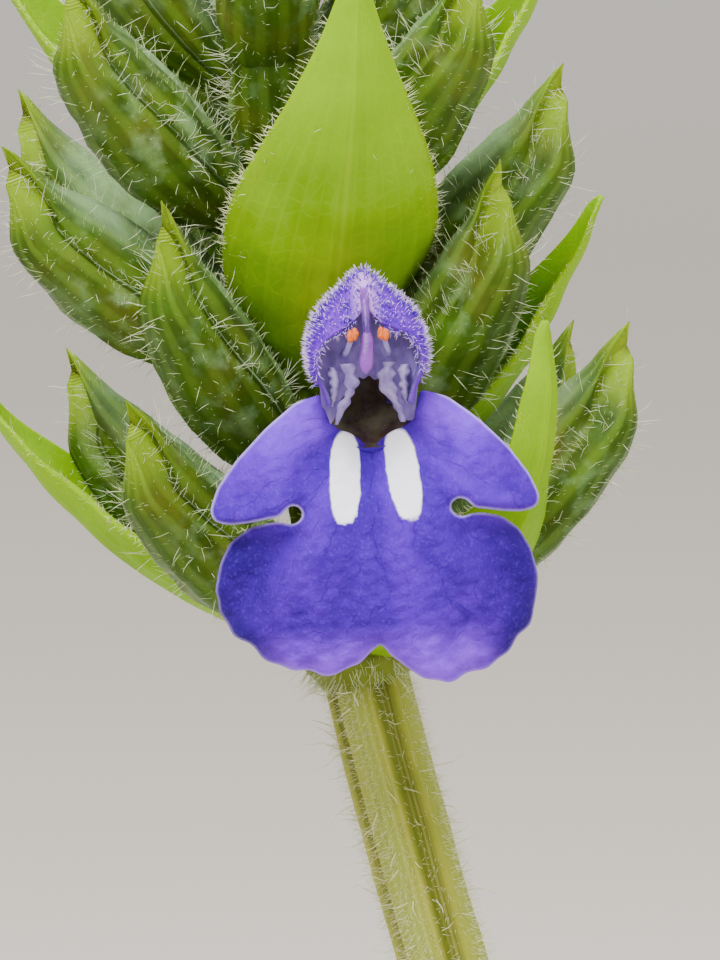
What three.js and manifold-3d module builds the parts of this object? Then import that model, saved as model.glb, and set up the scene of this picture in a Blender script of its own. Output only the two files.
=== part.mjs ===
// Potted chia: one flowering herb in a plain clay pot, in millimetres, +Z up.
// The origin is the centre of the pot's underside. The open flower faces -Y.
// An azimuth is an angle seen from above: 0 points to -Y (the front), 90 to +X (the right).

import * as THREE from "three";
import { mergeVertices } from "three/addons/utils/BufferGeometryUtils.js";
import Module from "manifold-3d";

const wasm = await Module();
wasm.setup();

// Driving dimensions, in millimetres and degrees
const CLEAR = 0.3;
const BLADE = 0.6;

const POT = {
  height: 84,
  rimRadius: 48,
  rimHeight: 19,
  rimStep: 3,
  footRadius: 32,
  innerFoot: 28,
  innerRim: 44,
  floor: 5,
  drainRadius: 6,
  edge: 1.2,
  sides: 32,
};
const SOIL = { level: 74, lump: 1.1, hole: 3.2, holeDepth: 34 };

// The stem's centre line from the root's end to the foot of the flower spike
const STEM_LINE = [
  [0.3, 0, 42],
  [0, 0, 60],
  [0, 0, 77],
  [0.5, 0.4, 98],
  [1.1, 0.7, 122],
  [1.7, 0.4, 146],
  [2.2, 0, 170],
  [1.8, 0, 186.5],
  [-0.9, 0, 200.5],
  [-6, 0, 220],
];
const STEM_RADII = [1.5, 2.2, 2.4, 2.25, 2.05, 1.8, 1.5, 1.2, 1.0, 0.88];
const STEM_STEPS = 30;
const STEM_RIDGE = 1.1;
const STEM_GROOVE = 0.84;

// Leaf pairs: along is the place on the stem line, from 0 at the root to 1 at the spike
const LEAF_PAIRS = [
  { along: 0.3, azimuth: 70, petiole: 10, length: 29, width: 9, rise: 24, droop: 46 },
  { along: 0.395, azimuth: -22, petiole: 15, length: 38, width: 12, rise: 36, droop: 58 },
  { along: 0.5, azimuth: 66, petiole: 16, length: 42, width: 13, rise: 42, droop: 66 },
  { along: 0.605, azimuth: -26, petiole: 12, length: 35, width: 10.5, rise: 46, droop: 62 },
  { along: 0.71, azimuth: 62, petiole: 7, length: 24, width: 7, rise: 50, droop: 54 },
];
const LEAF_TEETH = 8;
const LEAF_FOLD = 16;
const TOOTH_DEPTH = 0.11;

// Side shoots in the leaf axils: out and up are the spike foot's place from the axil
const SHOOTS = [
  { along: 0.52, azimuth: 72, out: 18, up: 35, lean: 20, whorls: 4, flower: 20 },
  { along: 0.52, azimuth: -110, out: 16, up: 37, lean: 18, whorls: 4, flower: -60 },
  { along: 0.625, azimuth: -26, out: 12, up: 22, lean: 22, whorls: 2 },
  { along: 0.625, azimuth: 154, out: 13, up: 27, lean: 20, whorls: 3 },
];
const SHOOT_LEAF = { petiole: 3, length: 16, width: 4.2, rise: 44, droop: 50 };

// The main spike leans to the left and straightens towards its tip
const MAIN_AXIS = { leanAzimuth: -90, leanFoot: 13, leanTip: 2, length: 21 };
// Each whorl: the height along the axis, then azimuth, rise and reach of every calyx
const MAIN_WHORLS = [
  {
    at: 0.8,
    calyces: [
      [3, 48.5, 6.4],
      [78, 46, 8.7],
      [128, 42, 8.3],
      [-174, 47, 8.0],
      [-110, 37, 8.5],
      [-45, 37, 8.5],
    ],
  },
  {
    at: 3.6,
    calyces: [
      [-40, 49, 8.4],
      [53, 56, 8.5],
      [158, 42, 8.2],
      [-148, 42, 8.2],
    ],
  },
  {
    at: 6.3,
    calyces: [
      [-61, 33, 8.5],
      [122, 38, 8.4],
      [78, 47, 8.4],
      [-112, 37, 8.5],
    ],
  },
  {
    at: 9.0,
    calyces: [
      [-46, 42, 8.4],
      [45, 46, 8.4],
      [160, 48, 8.0],
      [-160, 46, 8.0],
      [-6, 72, 6.8],
    ],
  },
];
// Above those the whorls follow a rule: turned, steeper and smaller each time
const MAIN_TOP = { first: 11.6, step: 2.3, count: 4, rise: 54, reach: 7.4, shrink: 0.84 };
const SIDE_SPIKE = { first: 0.8, step: 3.2, count: 4, rise: 42, reach: 7.6, shrink: 0.84 };
const MAIN_TOP_WHORLS = 4;
const SIDE_SPIKE_LENGTH = 12;
const CALYX_SIDE = 1.14;
const CALYX_DEEP = 1.08;
const CALYX_CURVE = 0.3;
const RACHIS = 0.85;

// Half a bract's width from its foot to its tip, as shares of the widest
const BRACT_WIDTHS = [0.26, 0.62, 0.86, 0.98, 1, 0.95, 0.82, 0.62, 0.4, 0.2, 0.06];
const DRAWN_OUT_WIDTHS = [0.3, 0.72, 0.94, 1, 0.92, 0.66, 0.4, 0.3, 0.24, 0.16, 0.06];

// The bracts of the main spike, each a leaf that cups the calyces above it
const BRACTS = [
  {
    name: "bract_front_right",
    at: 0.1,
    azimuth: 45,
    rise: 18,
    turn: 80,
    length: 9,
    width: 2.4,
    fine: true,
    widths: DRAWN_OUT_WIDTHS,
  },
  { name: "bract_left", at: 0.2, azimuth: -97, rise: 12, turn: 46, length: 8.9, width: 2.6, fine: true },
  { name: "bract_low_back", at: 0.2, azimuth: 168, rise: 14, turn: 50, length: 9.6, width: 2.3 },
  { name: "bract_right", at: 2.9, azimuth: 104, rise: 34, turn: 36, length: 8, width: 2.3 },
  { name: "bract_front", at: 5.9, azimuth: 10, rise: 34, turn: 52, length: 10.4, width: 2.2, fine: true },
  { name: "bract_high_back", at: 5.9, azimuth: -172, rise: 34, turn: 44, length: 10, width: 2.1 },
  { name: "bract_upper_left", at: 8.4, azimuth: -108, rise: 34, turn: 26, length: 8.8, width: 2.0 },
  { name: "bract_upper_right", at: 8.4, azimuth: 108, rise: 36, turn: 30, length: 8.6, width: 2.0 },
];

// Flower: half of the lower lip's outline seen from the front, from the throat round to its lowest notch
const LIP_HALF = [
  [0, -0.95],
  [0.34, -0.64],
  [0.62, -0.55],
  [0.84, -0.3],
  [0.95, 0.22],
  [1.5, 0.05],
  [2.1, -0.42],
  [2.7, -1.02],
  [3.12, -1.6],
  [3.26, -2.0],
  [3.18, -2.16],
  [2.4, -2.19],
  [1.62, -2.2],
  [1.5, -2.27],
  [1.62, -2.36],
  [2.25, -2.4],
  [2.72, -2.62],
  [3.06, -3.0],
  [3.18, -3.5],
  [3.06, -4.05],
  [2.7, -4.55],
  [2.26, -5.0],
  [1.78, -5.34],
  [1.3, -5.48],
  [0.8, -5.42],
  [0.36, -5.12],
  [0, -4.72],
];
const LIP_CENTRE = [0, -2.25];
const LIP_RINGS = [0.42, 0.76, 1];
const FLOWER_PITCH = 10;
const THROAT_REACH = 7.35;
// The hood from its back to its front rim: forward place, half width, top and foot
const HOOD = [
  [-0.5, 0.72, 1.7, 0.7],
  [-0.1, 0.88, 2.1, 0.7],
  [0.35, 0.98, 2.28, 0.72],
  [0.85, 1.02, 2.18, 0.78],
  [1.35, 1.0, 2.02, 0.84],
  [1.7, 0.94, 1.82, 0.9],
];
// The small flowers keep only these arches of the hood and these points of the lip's outline
const HOOD_COARSE = [HOOD[0], HOOD[2], HOOD[5]];
const LIP_COARSE = [0, 4, 7, 9, 11, 13, 15, 18, 21, 23, 26];
const HOOD_THICKNESS = 0.5;
const TUBE = { throat: 1.12, neck: 0.62, mouth: 0.92, well: 0.5 };
const STYLE = { radius: 0.1, stigma: 0.13 };
const ANTHER = { side: 0.36, radius: 0.13, filament: 0.08 };

const UP = new THREE.Vector3(0, 0, 1);
const rad = THREE.MathUtils.degToRad;
const vec = (x, y, z) => new THREE.Vector3(x, y, z);
const mix = THREE.MathUtils.lerp;
const clamp = THREE.MathUtils.clamp;
const outward = (azimuth) => vec(Math.sin(rad(azimuth)), -Math.cos(rad(azimuth)), 0);
const sideways = (azimuth) => vec(Math.cos(rad(azimuth)), Math.sin(rad(azimuth)), 0);
const rising = (azimuth, rise) =>
  outward(azimuth).multiplyScalar(Math.cos(rad(rise))).addScaledVector(UP, Math.sin(rad(rise)));

// A number from -1 to 1 that is always the same for the same two seeds
function vary(a, b) {
  const s = Math.sin(a * 12.9898 + b * 78.233) * 43758.5453;
  return 2 * (s - Math.floor(s)) - 1;
}

// A list of values read at t from 0 to 1, straight between them
function along(values, t) {
  const place = clamp(t, 0, 1) * (values.length - 1);
  const i = Math.min(Math.floor(place), values.length - 2);
  return mix(values[i], values[i + 1], place - i);
}

// Solids
function solidFrom(points, faces) {
  const triVerts = new Uint32Array(faces.flat());
  const vertProperties = new Float32Array(points.flatMap((p) => [p.x, p.y, p.z]));
  const made = new wasm.Manifold(new wasm.Mesh({ numProp: 3, vertProperties, triVerts }));
  if (made.volume() >= 0) return made;
  const turned = new Uint32Array(faces.flatMap(([a, b, c]) => [a, c, b]));
  return new wasm.Manifold(new wasm.Mesh({ numProp: 3, vertProperties, triVerts: turned }));
}

function solidOfGeometry(geometry) {
  const bare = new THREE.BufferGeometry().setAttribute("position", geometry.getAttribute("position"));
  bare.setIndex(geometry.index);
  const merged = mergeVertices(bare, 1e-4);
  const position = merged.getAttribute("position");
  const points = [];
  for (let i = 0; i < position.count; i++) points.push(vec().fromBufferAttribute(position, i));
  const faces = [];
  for (let i = 0; i < merged.index.count; i += 3) {
    const face = [0, 1, 2].map((k) => merged.index.getX(i + k));
    if (new Set(face).size === 3) faces.push(face);
  }
  return solidFrom(points, faces);
}

function joined(solids) {
  return solids.reduce((sum, next) => sum.add(next));
}

// The largest body of a solid: a cut can leave a loose scrap behind
function largest(solid) {
  return solid.decompose().sort((a, b) => b.volume() - a.volume())[0];
}

function meshOf(name, solid, material) {
  const made = largest(solid).getMesh();
  const geometry = new THREE.BufferGeometry();
  const count = made.vertProperties.length / made.numProp;
  const position = new Float32Array(count * 3);
  for (let i = 0; i < count; i++) {
    for (let k = 0; k < 3; k++) position[i * 3 + k] = made.vertProperties[i * made.numProp + k];
  }
  geometry.setAttribute("position", new THREE.BufferAttribute(position, 3));
  geometry.setIndex(new THREE.BufferAttribute(made.triVerts, 1));
  const mesh = new THREE.Mesh(geometry, material);
  mesh.name = name;
  return mesh;
}

// A closed skin over rings with equal numbers of points, with a fan over each end
function skin(rings) {
  const n = rings[0].length;
  const points = rings.flat();
  const faces = [];
  for (let r = 0; r + 1 < rings.length; r++) {
    for (let i = 0; i < n; i++) {
      const a = r * n + i;
      const b = r * n + ((i + 1) % n);
      faces.push([a, b, b + n], [a, b + n, a + n]);
    }
  }
  for (const [first, turned] of [[0, true], [(rings.length - 1) * n, false]]) {
    const centre = vec(0, 0, 0);
    for (let i = 0; i < n; i++) centre.add(points[first + i]);
    points.push(centre.divideScalar(n));
    for (let i = 0; i < n; i++) {
      const a = first + i;
      const b = first + ((i + 1) % n);
      faces.push(turned ? [b, a, points.length - 1] : [a, b, points.length - 1]);
    }
  }
  return solidFrom(points, faces);
}

// A thin sheet of even thickness: rows of points and their normals, both faces split into triangles alike
function sheet(rows, normals, thickness) {
  const columns = rows[0].length;
  const count = rows.length * columns;
  const offset = (sign) => (p, i) => p.clone().addScaledVector(normals.flat()[i], (sign * thickness) / 2);
  const flat = rows.flat();
  const points = [...flat.map(offset(1)), ...flat.map(offset(-1))];
  const faces = [];
  for (let r = 0; r + 1 < rows.length; r++) {
    for (let c = 0; c + 1 < columns; c++) {
      const a = r * columns + c;
      const [b, d, e] = [a + 1, a + columns, a + columns + 1];
      const halves = c < (columns - 1) / 2 ? [[a, b, e], [a, e, d]] : [[a, b, d], [b, e, d]];
      for (const [i, j, k] of halves) faces.push([i, j, k], [k + count, j + count, i + count]);
    }
  }
  const rim = [];
  for (let c = 0; c < columns; c++) rim.push(c);
  for (let r = 1; r < rows.length; r++) rim.push(r * columns + columns - 1);
  for (let c = columns - 2; c >= 0; c--) rim.push((rows.length - 1) * columns + c);
  for (let r = rows.length - 2; r > 0; r--) rim.push(r * columns);
  rim.forEach((a, i) => {
    const b = rim[(i + 1) % rim.length];
    faces.push([b, a, a + count], [b, a + count, b + count]);
  });
  return solidFrom(points, faces);
}

// A round or ridged rod along points, with a radius for each and a side direction that it keeps
function rod(points, radii, sides, side, shape = () => 1) {
  const rings = points.map((p, k) => {
    const tangent = points[Math.min(k + 1, points.length - 1)]
      .clone()
      .sub(points[Math.max(k - 1, 0)])
      .normalize();
    const across = side.clone().addScaledVector(tangent, -side.dot(tangent)).normalize();
    const other = tangent.clone().cross(across);
    return Array.from({ length: sides }, (_, i) => {
      const angle = (2 * Math.PI * i) / sides;
      const r = radii[k] * shape(i);
      return p
        .clone()
        .addScaledVector(across, r * Math.cos(angle))
        .addScaledVector(other, r * Math.sin(angle));
    });
  });
  return skin(rings);
}

// Pot and soil
const bodyTop = POT.height - POT.rimHeight;
const bodyTopRadius = POT.rimRadius - POT.rimStep;
const innerRadius = (z) => mix(POT.innerFoot, POT.innerRim, (z - POT.floor) / (POT.height - POT.floor));

function potSolid() {
  const { height, rimRadius, footRadius, innerFoot, innerRim, floor, drainRadius, edge, sides } = POT;
  const profile = [
    [drainRadius, 0],
    [footRadius - edge, 0],
    [footRadius, edge],
    [bodyTopRadius - 1, bodyTop],
    [rimRadius - edge, bodyTop + edge / 2],
    [rimRadius - 0.6, bodyTop + 2 * edge],
    [rimRadius, height - 2 * edge],
    [rimRadius - edge, height],
    [innerRim + edge, height],
    [innerRadius(height - edge), height - edge],
    [innerRadius(floor + 4), floor + 4],
    [innerFoot - 3, floor],
    [drainRadius, floor],
    [drainRadius, 0],
  ].map(([r, z]) => new THREE.Vector2(r, z));
  return solidOfGeometry(new THREE.LatheGeometry(profile, sides).rotateX(Math.PI / 2));
}

function soilSolid() {
  const { level, lump, hole, holeDepth } = SOIL;
  const wallRadius = innerRadius(level) - CLEAR;
  const shares = [0.93, 0.76, 0.58, 0.4, 0.2];
  const profile = [
    [0, POT.floor + CLEAR],
    [POT.innerFoot - 3 - CLEAR, POT.floor + CLEAR],
    [innerRadius(POT.floor + 4) - CLEAR - 0.2, POT.floor + 4],
    [wallRadius - 0.2, level - 1],
    ...shares.map((share) => [wallRadius * share, level]),
    [0, level],
  ].map(([r, z]) => new THREE.Vector2(r, z));
  const geometry = new THREE.LatheGeometry(profile, POT.sides).rotateX(Math.PI / 2);
  const position = geometry.getAttribute("position");
  for (let i = 0; i < position.count; i++) {
    const [x, y, z] = [position.getX(i), position.getY(i), position.getZ(i)];
    if (z > level - 0.5) position.setZ(i, z + soilRelief(x, y) * lump);
  }
  const bore = new THREE.CylinderGeometry(hole, hole, holeDepth + 10, 12).rotateX(Math.PI / 2);
  bore.translate(0, 0, level - holeDepth + (holeDepth + 10) / 2);
  return solidOfGeometry(geometry).subtract(solidOfGeometry(bore));
}

// Lumps of the soil's surface, from -1 to 1
function soilRelief(x, y) {
  return (
    0.5 * Math.sin(x * 0.31 + 1.7 * Math.sin(y * 0.17)) +
    0.5 * Math.sin(y * 0.37 + 1.3 * Math.sin(x * 0.23 + 2))
  );
}

// Stem
const stemCurve = new THREE.CatmullRomCurve3(
  STEM_LINE.map((p) => vec(...p)),
  false,
  "catmullrom",
  0.5,
);
const stemPoint = (t) => stemCurve.getPoint(t);
const stemRadius = (t) => along(STEM_RADII, t);

function stemSolid(grow = 0) {
  const ts = Array.from({ length: STEM_STEPS + 1 }, (_, i) => i / STEM_STEPS);
  const radii = ts.map((t) => {
    const node = Math.max(...LEAF_PAIRS.map((p) => 1 - Math.abs(t - p.along) / 0.02), 0);
    return stemRadius(t) * (1 + 0.16 * node) + grow;
  });
  const ridged = (i) => (i % 2 ? STEM_RIDGE : STEM_GROOVE);
  const points = ts.map(stemPoint);
  points[STEM_STEPS].addScaledVector(stemCurve.getTangent(1), grow);
  return rod(points, radii, 8, sideways(22), ridged);
}

// Leaves
function leafFrames(spec, foot, stations) {
  const { azimuth, length, rise, droop } = spec;
  const side = sideways(azimuth);
  const place = foot.clone();
  return stations.map((u, i) => {
    const pitch = rise - droop * u;
    const tangent = rising(azimuth, pitch);
    if (i) place.addScaledVector(tangent, (u - stations[i - 1]) * length);
    const normal = rising(azimuth, pitch + 90);
    return { u, place: place.clone(), tangent, side, normal };
  });
}

// Half the blade's width at u, as a share of the widest: egg-shaped with a drawn-out tip
function leafHalfWidth(u) {
  return (Math.pow(u, 0.5) * Math.pow(1 - u, 1.1)) / (Math.pow(0.3125, 0.5) * Math.pow(0.6875, 1.1));
}

function leafBlade(spec, foot, teeth, seed) {
  const stations = [0.012];
  for (let k = 0; k < teeth; k++) {
    const start = 0.05 + (0.9 * k) / teeth;
    stations.push(start, start + 0.68 * (0.9 / teeth));
  }
  stations.push(0.955, 0.99);
  const fold = rad(LEAF_FOLD);
  const frames = leafFrames(spec, foot, stations);
  const rows = frames.map(({ u, place, side, normal }, i) => {
    const tooth = i && i < stations.length - 2 && i % 2 === 0 ? 1 : 1 - TOOTH_DEPTH;
    const half = Math.max(spec.width * leafHalfWidth(u) * tooth, 0.35);
    const wave = 0.05 * spec.width * Math.sin(9 * u + 3 * vary(seed, 1));
    const lift = half * Math.sin(fold) * (1 - 0.7 * u);
    return [-1, 0, 1].map((v) =>
      place
        .clone()
        .addScaledVector(side, v * half * Math.cos(fold))
        .addScaledVector(normal, Math.abs(v) * lift + v * wave),
    );
  });
  const normals = frames.map(({ normal }) => [normal, normal, normal]);
  return sheet(rows, normals, BLADE);
}

// A leaf: the petiole starts inside the stem and ends under the foot of the blade
function leafSolid(spec, foot, teeth, seed) {
  const { azimuth, petiole, rise, length } = spec;
  const start = rising(azimuth, rise);
  const bladeFoot = foot.clone().addScaledVector(start, petiole);
  const thick = mix(0.55, 0.95, clamp((length - 18) / 34, 0, 1));
  const [joint, end] = leafFrames(spec, bladeFoot, [0, 0.1]);
  const points = [foot, joint.place, end.place.addScaledVector(end.normal, -0.15)];
  const radii = [1.3, 0.95, 0.5].map((r) => r * thick);
  return leafBlade(spec, bladeFoot, teeth, seed).add(rod(points, radii, 5, sideways(azimuth)));
}

// Spike
// A point of a spike's axis at a distance from its foot, where the lean changes evenly
function axisPoint(axis, distance) {
  const lean = rad(axis.leanFoot);
  const bend = rad(axis.leanTip - axis.leanFoot) / axis.length;
  const out = (Math.cos(lean) - Math.cos(lean + bend * distance)) / bend;
  const up = (Math.sin(lean + bend * distance) - Math.sin(lean)) / bend;
  return axis.foot.clone().addScaledVector(outward(axis.leanAzimuth), out).addScaledVector(UP, up);
}

// The whorls that follow a rule, as lists of azimuth, rise and reach
function ruledWhorls(rule, count, seed) {
  return Array.from({ length: count }, (_, k) => {
    const size = Math.pow(rule.shrink, k);
    return {
      at: rule.first + rule.step * k * (1 - 0.06 * k),
      calyces: Array.from({ length: rule.count }, (_, i) => [
        (360 * i) / rule.count + (180 / rule.count) * k + 7 * vary(seed + k, i),
        Math.min(rule.rise + 8 * k + 4 * vary(seed + i, k), 84),
        rule.reach * size,
      ]),
    };
  });
}

// Rings of a calyx: the share of its reach and of its full girth
const CALYX_STATIONS = [
  [0.15, 0.46],
  [0.48, 1],
  [0.78, 0.84],
];

// A calyx: a pod that ends in an upper and a lower pointed lip
function calyxSolid(root, [azimuth, rise, reach], grow = 0, sides = 6) {
  const size = reach / 8.3;
  const along = rising(azimuth, rise);
  const across = sideways(azimuth);
  const inner = rising(azimuth, rise + 90);
  const at = (share, side, deep) =>
    root
      .clone()
      .addScaledVector(along, share * reach)
      .addScaledVector(across, side)
      .addScaledVector(inner, deep + CALYX_CURVE * share * (share - 1) * reach);
  const points = [];
  for (const [share, girth] of CALYX_STATIONS) {
    for (let i = 0; i < sides; i++) {
      const angle = (2 * Math.PI * i) / sides;
      const side = (CALYX_SIDE * size * girth + grow) * Math.cos(angle);
      points.push(at(share, side, (CALYX_DEEP * size * girth + grow) * Math.sin(angle)));
    }
  }
  const last = (CALYX_STATIONS.length - 1) * sides;
  const corner = sides / 2;
  const foot = points.push(at(0, 0, 0)) - 1;
  const ahead = (2.2 * grow) / reach;
  const upper = points.push(at(1 + ahead, 0, 0.16 * size + grow)) - 1;
  const lower = points.push(at(0.94 + ahead, 0, -0.42 * size - grow)) - 1;
  const faces = [];
  for (let i = 0; i < sides; i++) {
    const next = (i + 1) % sides;
    faces.push([next, i, foot]);
    for (let r = 0; r < last; r += sides) {
      faces.push([r + i, r + next, r + next + sides], [r + i, r + next + sides, r + i + sides]);
    }
    faces.push([last + i, last + next, i < corner ? upper : lower]);
  }
  faces.push([last + corner, last, upper], [last, last + corner, lower]);
  return solidFrom(points, faces);
}

const BRACT_FINE = [0.02, 0.14, 0.3, 0.46, 0.6, 0.76, 1];
const BRACT_COARSE = [0.02, 0.2, 0.42, 0.66, 1];

// A bract: a cupped egg-shaped blade with a long thin point
function bractSolid(axis, spec) {
  const { azimuth, rise, turn, length, width, widths = BRACT_WIDTHS } = spec;
  const place = axisPoint(axis, spec.at).addScaledVector(outward(azimuth), RACHIS + CLEAR);
  const side = sideways(azimuth);
  const stations = spec.fine ? BRACT_FINE : BRACT_COARSE;
  const columns = spec.fine ? [-1, -0.5, 0, 0.5, 1] : [-1, 0, 1];
  const rows = [];
  const normals = [];
  stations.forEach((u, i) => {
    const pitch = rise + turn * u;
    if (i) place.addScaledVector(rising(azimuth, pitch), (u - stations[i - 1]) * length);
    const normal = rising(azimuth, pitch + 90);
    const half = width * along(widths, u);
    rows.push(
      columns.map((v) => {
        const curl = rad(bractCurl(u) * Math.abs(v));
        return place
          .clone()
          .addScaledVector(side, v * half * Math.cos(curl / 2))
          .addScaledVector(normal, Math.abs(v) * half * Math.sin(curl));
      }),
    );
    normals.push(
      columns.map((v) => {
        const tilt = rad(bractCurl(u) * v);
        return normal.clone().multiplyScalar(Math.cos(tilt)).addScaledVector(side, -Math.sin(tilt));
      }),
    );
  });
  return sheet(rows, normals, BLADE);
}

// How far the bract's margins turn up at u, in degrees
function bractCurl(u) {
  return mix(38, 22, clamp(u / 0.6, 0, 1));
}

function rachisSolid(axis, length, foot) {
  const points = Array.from({ length: 6 }, (_, i) => axisPoint(axis, (length * i) / 5));
  const radii = points.map((_, i) => mix(foot, 0.3, i / 5));
  return rod(points, radii, 6, sideways(0));
}

// Flower, in its own frame: x to its right, u upwards, f out of the throat
function flowerFrame(root, azimuth, rise) {
  return {
    throat: root.clone().addScaledVector(rising(azimuth, rise), THROAT_REACH),
    right: sideways(azimuth),
    up: rising(azimuth, FLOWER_PITCH + 90),
    front: rising(azimuth, FLOWER_PITCH),
  };
}

function inFlower(frame, x, u, f) {
  return frame.throat
    .clone()
    .addScaledVector(frame.right, x)
    .addScaledVector(frame.up, u)
    .addScaledVector(frame.front, f);
}

// How far the lower lip stands forward of the throat
function lipDepth(x, u) {
  const r = Math.hypot(x, u + 0.9);
  const bulge = 0.1 + 1.2 * (1 - Math.exp(-Math.pow(r / 1.1, 2)));
  const fall = 0.1 * Math.pow(Math.max(r - 1.7, 0), 2);
  const cheek = 0.07 * x * x * clamp((u + 3) / 1.4, 0, 1);
  return bulge - fall - cheek;
}

function lipSolid(frame, grow, half) {
  const outline = [...half, ...half.slice(1, -1).reverse().map(([x, u]) => [-x, u])];
  const n = outline.length;
  const [cx, cu] = LIP_CENTRE;
  const thickness = BLADE * 0.5 + grow;
  const points = [];
  for (const level of [thickness, -thickness]) {
    points.push(inFlower(frame, cx, cu, lipDepth(cx, cu) - 0.15 + level));
    for (const ring of LIP_RINGS) {
      const spread = ring === 1 ? 1 + grow / 3 : ring;
      for (const [ox, ou] of outline) {
        const x = cx + (ox - cx) * spread;
        const u = cu + (ou - cu) * spread;
        points.push(inFlower(frame, x, u, lipDepth(x, u) - 0.15 + level));
      }
    }
  }
  const faces = [];
  const bottom = points.length / 2;
  const both = (a, b, c) => faces.push([a, b, c], [c + bottom, b + bottom, a + bottom]);
  for (let i = 0; i < n; i++) {
    const next = (i + 1) % n;
    both(0, 1 + i, 1 + next);
    for (let r = 0; r + 1 < LIP_RINGS.length; r++) {
      const [a, b] = [1 + r * n + i, 1 + r * n + next];
      both(a, a + n, b + n);
      both(a, b + n, b);
    }
    const [a, b] = [1 + (LIP_RINGS.length - 1) * n + i, 1 + (LIP_RINGS.length - 1) * n + next];
    faces.push([b, a, a + bottom], [b, a + bottom, b + bottom]);
  }
  return solidFrom(points, faces);
}

// The upper lip: a keeled hood arching forward over the throat
function hoodSolid(frame, grow, arches, steps) {
  const reach = 102 + 15 * grow;
  const angles = Array.from({ length: steps + 1 }, (_, i) => rad(mix(-reach, reach, i / steps)));
  const last = arches.length - 1;
  const rows = arches.map(([forward, halfWidth, top, foot], k) => {
    const place = forward + (k === last ? grow : 0) - (k === 0 ? grow : 0);
    return angles.map((angle) => {
      const keel = 1 + 0.1 * Math.pow(Math.cos(angle), 8);
      return inFlower(frame, halfWidth * Math.sin(angle), foot + (top - foot) * Math.cos(angle) * keel, place);
    });
  });
  const normals = arches.map(() =>
    angles.map((angle) =>
      frame.right.clone().multiplyScalar(Math.sin(angle)).addScaledVector(frame.up, Math.cos(angle)),
    ),
  );
  return sheet(rows, normals, HOOD_THICKNESS + 2 * grow);
}

// The corolla tube, from inside the calyx to the throat, with a funnel at its mouth
function tubeSolid(frame, root, azimuth, rise, grow, fine) {
  const along = rising(azimuth, rise);
  const points = [
    root.clone().addScaledVector(along, 4.6 - grow),
    root.clone().addScaledVector(along, 6.0),
    inFlower(frame, 0, -0.12, -0.75),
    inFlower(frame, 0, 0.05, 0.35),
  ];
  const radii = [TUBE.neck * 0.75, TUBE.neck, TUBE.throat * 0.84, TUBE.throat].map((r) => r + grow);
  const tube = rod(points, radii, fine ? 10 : 6, frame.right);
  if (grow || !fine) return tube;
  const funnel = [inFlower(frame, 0, 0, -0.8), inFlower(frame, 0, 0.12, 1.2)];
  return tube.subtract(rod(funnel, [TUBE.well, TUBE.mouth], 10, frame.right));
}

function corollaSolid(root, [azimuth, rise], fine, grow = 0) {
  const frame = flowerFrame(root, azimuth, rise);
  const half = fine ? LIP_HALF : LIP_COARSE.map((i) => LIP_HALF[i]);
  const parts = [
    lipSolid(frame, grow, half),
    hoodSolid(frame, grow, fine ? HOOD : HOOD_COARSE, fine ? 12 : 6),
    tubeSolid(frame, root, azimuth, rise, grow, fine),
  ];
  return joined(parts);
}

function styleSolid(frame) {
  const line = [
    [0, 1.2, 0.6],
    [0, 1.3, 1.5],
    [0, 1.24, 1.9],
    [0, 0.95, 2.05],
    [0, 0.56, 2.0],
  ].map(([x, u, f]) => inFlower(frame, x, u, f));
  const { radius, stigma } = STYLE;
  return rod(line, [radius, radius, radius, stigma, stigma * 0.7], 6, frame.right);
}

// One stamen: a filament out of the throat's side with the anther at its end
function stamenSolid(frame, sign) {
  const { side, radius, filament } = ANTHER;
  const line = [
    [0.52, 1.12, 0.6],
    [0.46, 1.2, 1.0],
    [side, 1.24, 1.6],
    [side, 1.25, 1.72],
    [side, 1.25, 1.98],
  ].map(([x, u, f]) => inFlower(frame, sign * x, u, f));
  return rod(line, [filament, filament, filament, radius, radius * 0.7], 6, frame.right);
}

// Materials
const paint = (color, roughness = 0.7) => new THREE.MeshStandardMaterial({ color, roughness, metalness: 0 });
const CLAY = paint(0xb8694a, 0.85);
const EARTH = paint(0x3a2a20, 0.95);
const STEM_GREEN = paint(0xa3ad66);
const LEAF_GREEN = paint(0x5f8a35);
const CALYX_GREEN = paint(0x6f8f4a);
const BRACT_GREEN = paint(0x98b01c, 0.6);
const VIOLET = paint(0x6a52cc, 0.55);
const PINK = paint(0xc98bd8, 0.5);
const ORANGE = paint(0xe08a3a, 0.8);

// Assembly
const plant = new THREE.Group();
const add = (name, solid, material) => plant.add(meshOf(name, solid, material));

add("pot", potSolid(), CLAY);
add("soil", soilSolid(), EARTH);
add("stem", stemSolid(), STEM_GREEN);
const stemRoom = stemSolid(CLEAR);

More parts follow.
